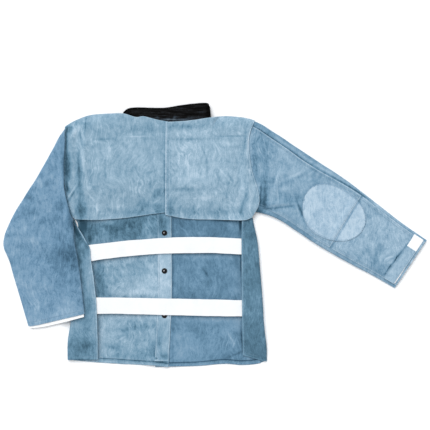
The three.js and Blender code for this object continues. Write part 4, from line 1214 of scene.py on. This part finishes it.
# The collar: one band from its parting at the front, round the left fold, over the back, round the
# right fold and back to the parting; the front layer hangs lower than the back one
def add_collar():
    front, fold = COLLAR_ROUND.front, COLLAR_ROUND.fold
    share, width = COLLAR_ROUND.share, COLLAR_ROUND.width
    left_fold = front + fold
    right_fold = 1 - left_fold
    places = [0, front, left_fold, right_fold, 1 - front, 1]
    front_steps, fold_steps = COLLAR_ROUND.front_steps, COLLAR_ROUND.fold_steps
    steps = [front_steps, fold_steps, COLLAR_ROUND.back_steps, fold_steps, front_steps]
    along = [np.linspace(*ends, count + 1)[1:] for *ends, count in zip(places, places[1:], steps)]
    u, v = grid(np.concatenate([[0], *along]), stations(COLLAR_EXTENT.width, COLLAR_EXTENT.width_step))
    across = np.clip((u - left_fold) / (right_fold - left_fold), 0, 1)
    turn = np.clip(np.minimum((u - front) / fold, (1 - front - u) / fold), 0, 1)
    across = np.where(u < front, lerp(share - width, 0, u / front), across)
    across = np.where(u > 1 - front, lerp(share + width, 1, (1 - u) / front), across)
    row = row_at(COLLAR, across)
    hang = COLLAR_LEVEL.drop * np.sin(np.pi * across) * (1 - turn)
    inward = COLLAR_LEVEL.fold_depth * (1 - np.sin(np.pi * turn))
    near_fold = (1 - smoothstep(across, 0, fold)) - smoothstep(across, 1 - fold, 1)
    slant = COLLAR_LEVEL.slant * v * smoothstep(across, COLLAR_LEVEL.slant_from, 1)
    x = row["x"] + inward * near_fold + slant
    fold_drop = COLLAR_LEVEL.fold_drop * np.sin(np.pi * turn)
    y = lerp(row["top"] - fold_drop, row["bottom"], v) - hang
    level = lerp(COLLAR_LEVEL.front, COLLAR_LEVEL.back, (1 - np.cos(np.pi * turn)) / 2)
    waves = np.sin(2 * np.pi * (COLLAR_RIDGES.count * v + layered(RIDGE_WAVES, x, y)))
    ridges = COLLAR_RIDGES.height * waves * np.sin(np.pi * v)
    add_sheet("collar", place(x, y, level + ridges), COLLAR_FINISH, COLLAR_WALL)


add_fronts()
add_studs()
add_side("side_left", SIDE_LEFT, SIDE_RISE.left, SIDE_DROP.left)
add_side("side_right", SIDE_RIGHT, SIDE_RISE.right, SIDE_DROP.right)
add_yoke_half("yoke_left", YOKE_TOP_LEFT, YOKE_LOWER_LEFT, YOKE_ARMHOLE_LEFT, YOKE.neck_left,
              YOKE.left_edge, YOKE.seam, 0)
add_yoke_half("yoke_right", YOKE_TOP_RIGHT, YOKE_LOWER_RIGHT, YOKE_ARMHOLE_RIGHT, YOKE.neck_right,
              YOKE.right_edge, YOKE.corner_level, STEP)
add_collar()
add_right_sleeve()
add_left_sleeve()
add_elastic("elastic_upper", ELASTIC_UPPER)
add_elastic("elastic_lower", ELASTIC_LOWER)


# Floor, light and camera, in metres
FLOOR = Values(half=30, level=-0.0003, color=(0.93, 0.93, 0.935, 1))
KEY_LIGHT = Values(energy=2.35, angle=50, tilt=(-26, -16, 0))
FILL_LIGHT = {"Color": (0.94, 0.97, 1, 1), "Strength": 0.68}
CAMERA = Values(centre=(-0.0008, 0.058), height=6, picture_width=1.247, sensor=36)

# Plain pale floor
floor_mesh = bpy.data.meshes.new("floor")
half = FLOOR.half
corners = [(x, y, FLOOR.level) for x, y in ((-half, -half), (half, -half), (half, half), (-half, half))]
floor_mesh.from_pydata(corners, [], [(0, 1, 2, 3)])
floor_look = Look("floor", roughness=0.9, specular=0.1, Base_Color=FLOOR.color)
floor_mesh.materials.append(floor_look.material)
floor = show("floor", floor_mesh)

# Soft studio light from above and behind the collar, and an even fill
sun = bpy.data.lights.new("key", "SUN")
sun.energy = KEY_LIGHT.energy
sun.angle = np.radians(KEY_LIGHT.angle)
show("key", sun).rotation_euler = np.radians(KEY_LIGHT.tilt)
world = bpy.data.worlds.new("world")
world.use_nodes = True
for key, value in FILL_LIGHT.items():
    world.node_tree.nodes["Background"].inputs[key].default_value = value
bpy.context.scene.world = world
bpy.context.scene.view_settings.view_transform = "Standard"

# Camera straight above, with the photograph's framing
camera_data = bpy.data.cameras.new("camera")
camera_data.sensor_width = CAMERA.sensor
camera_data.lens = CAMERA.sensor * CAMERA.height / CAMERA.picture_width
camera = show("camera", camera_data)
camera.location = (*CAMERA.centre, CAMERA.height)
bpy.context.scene.camera = camera
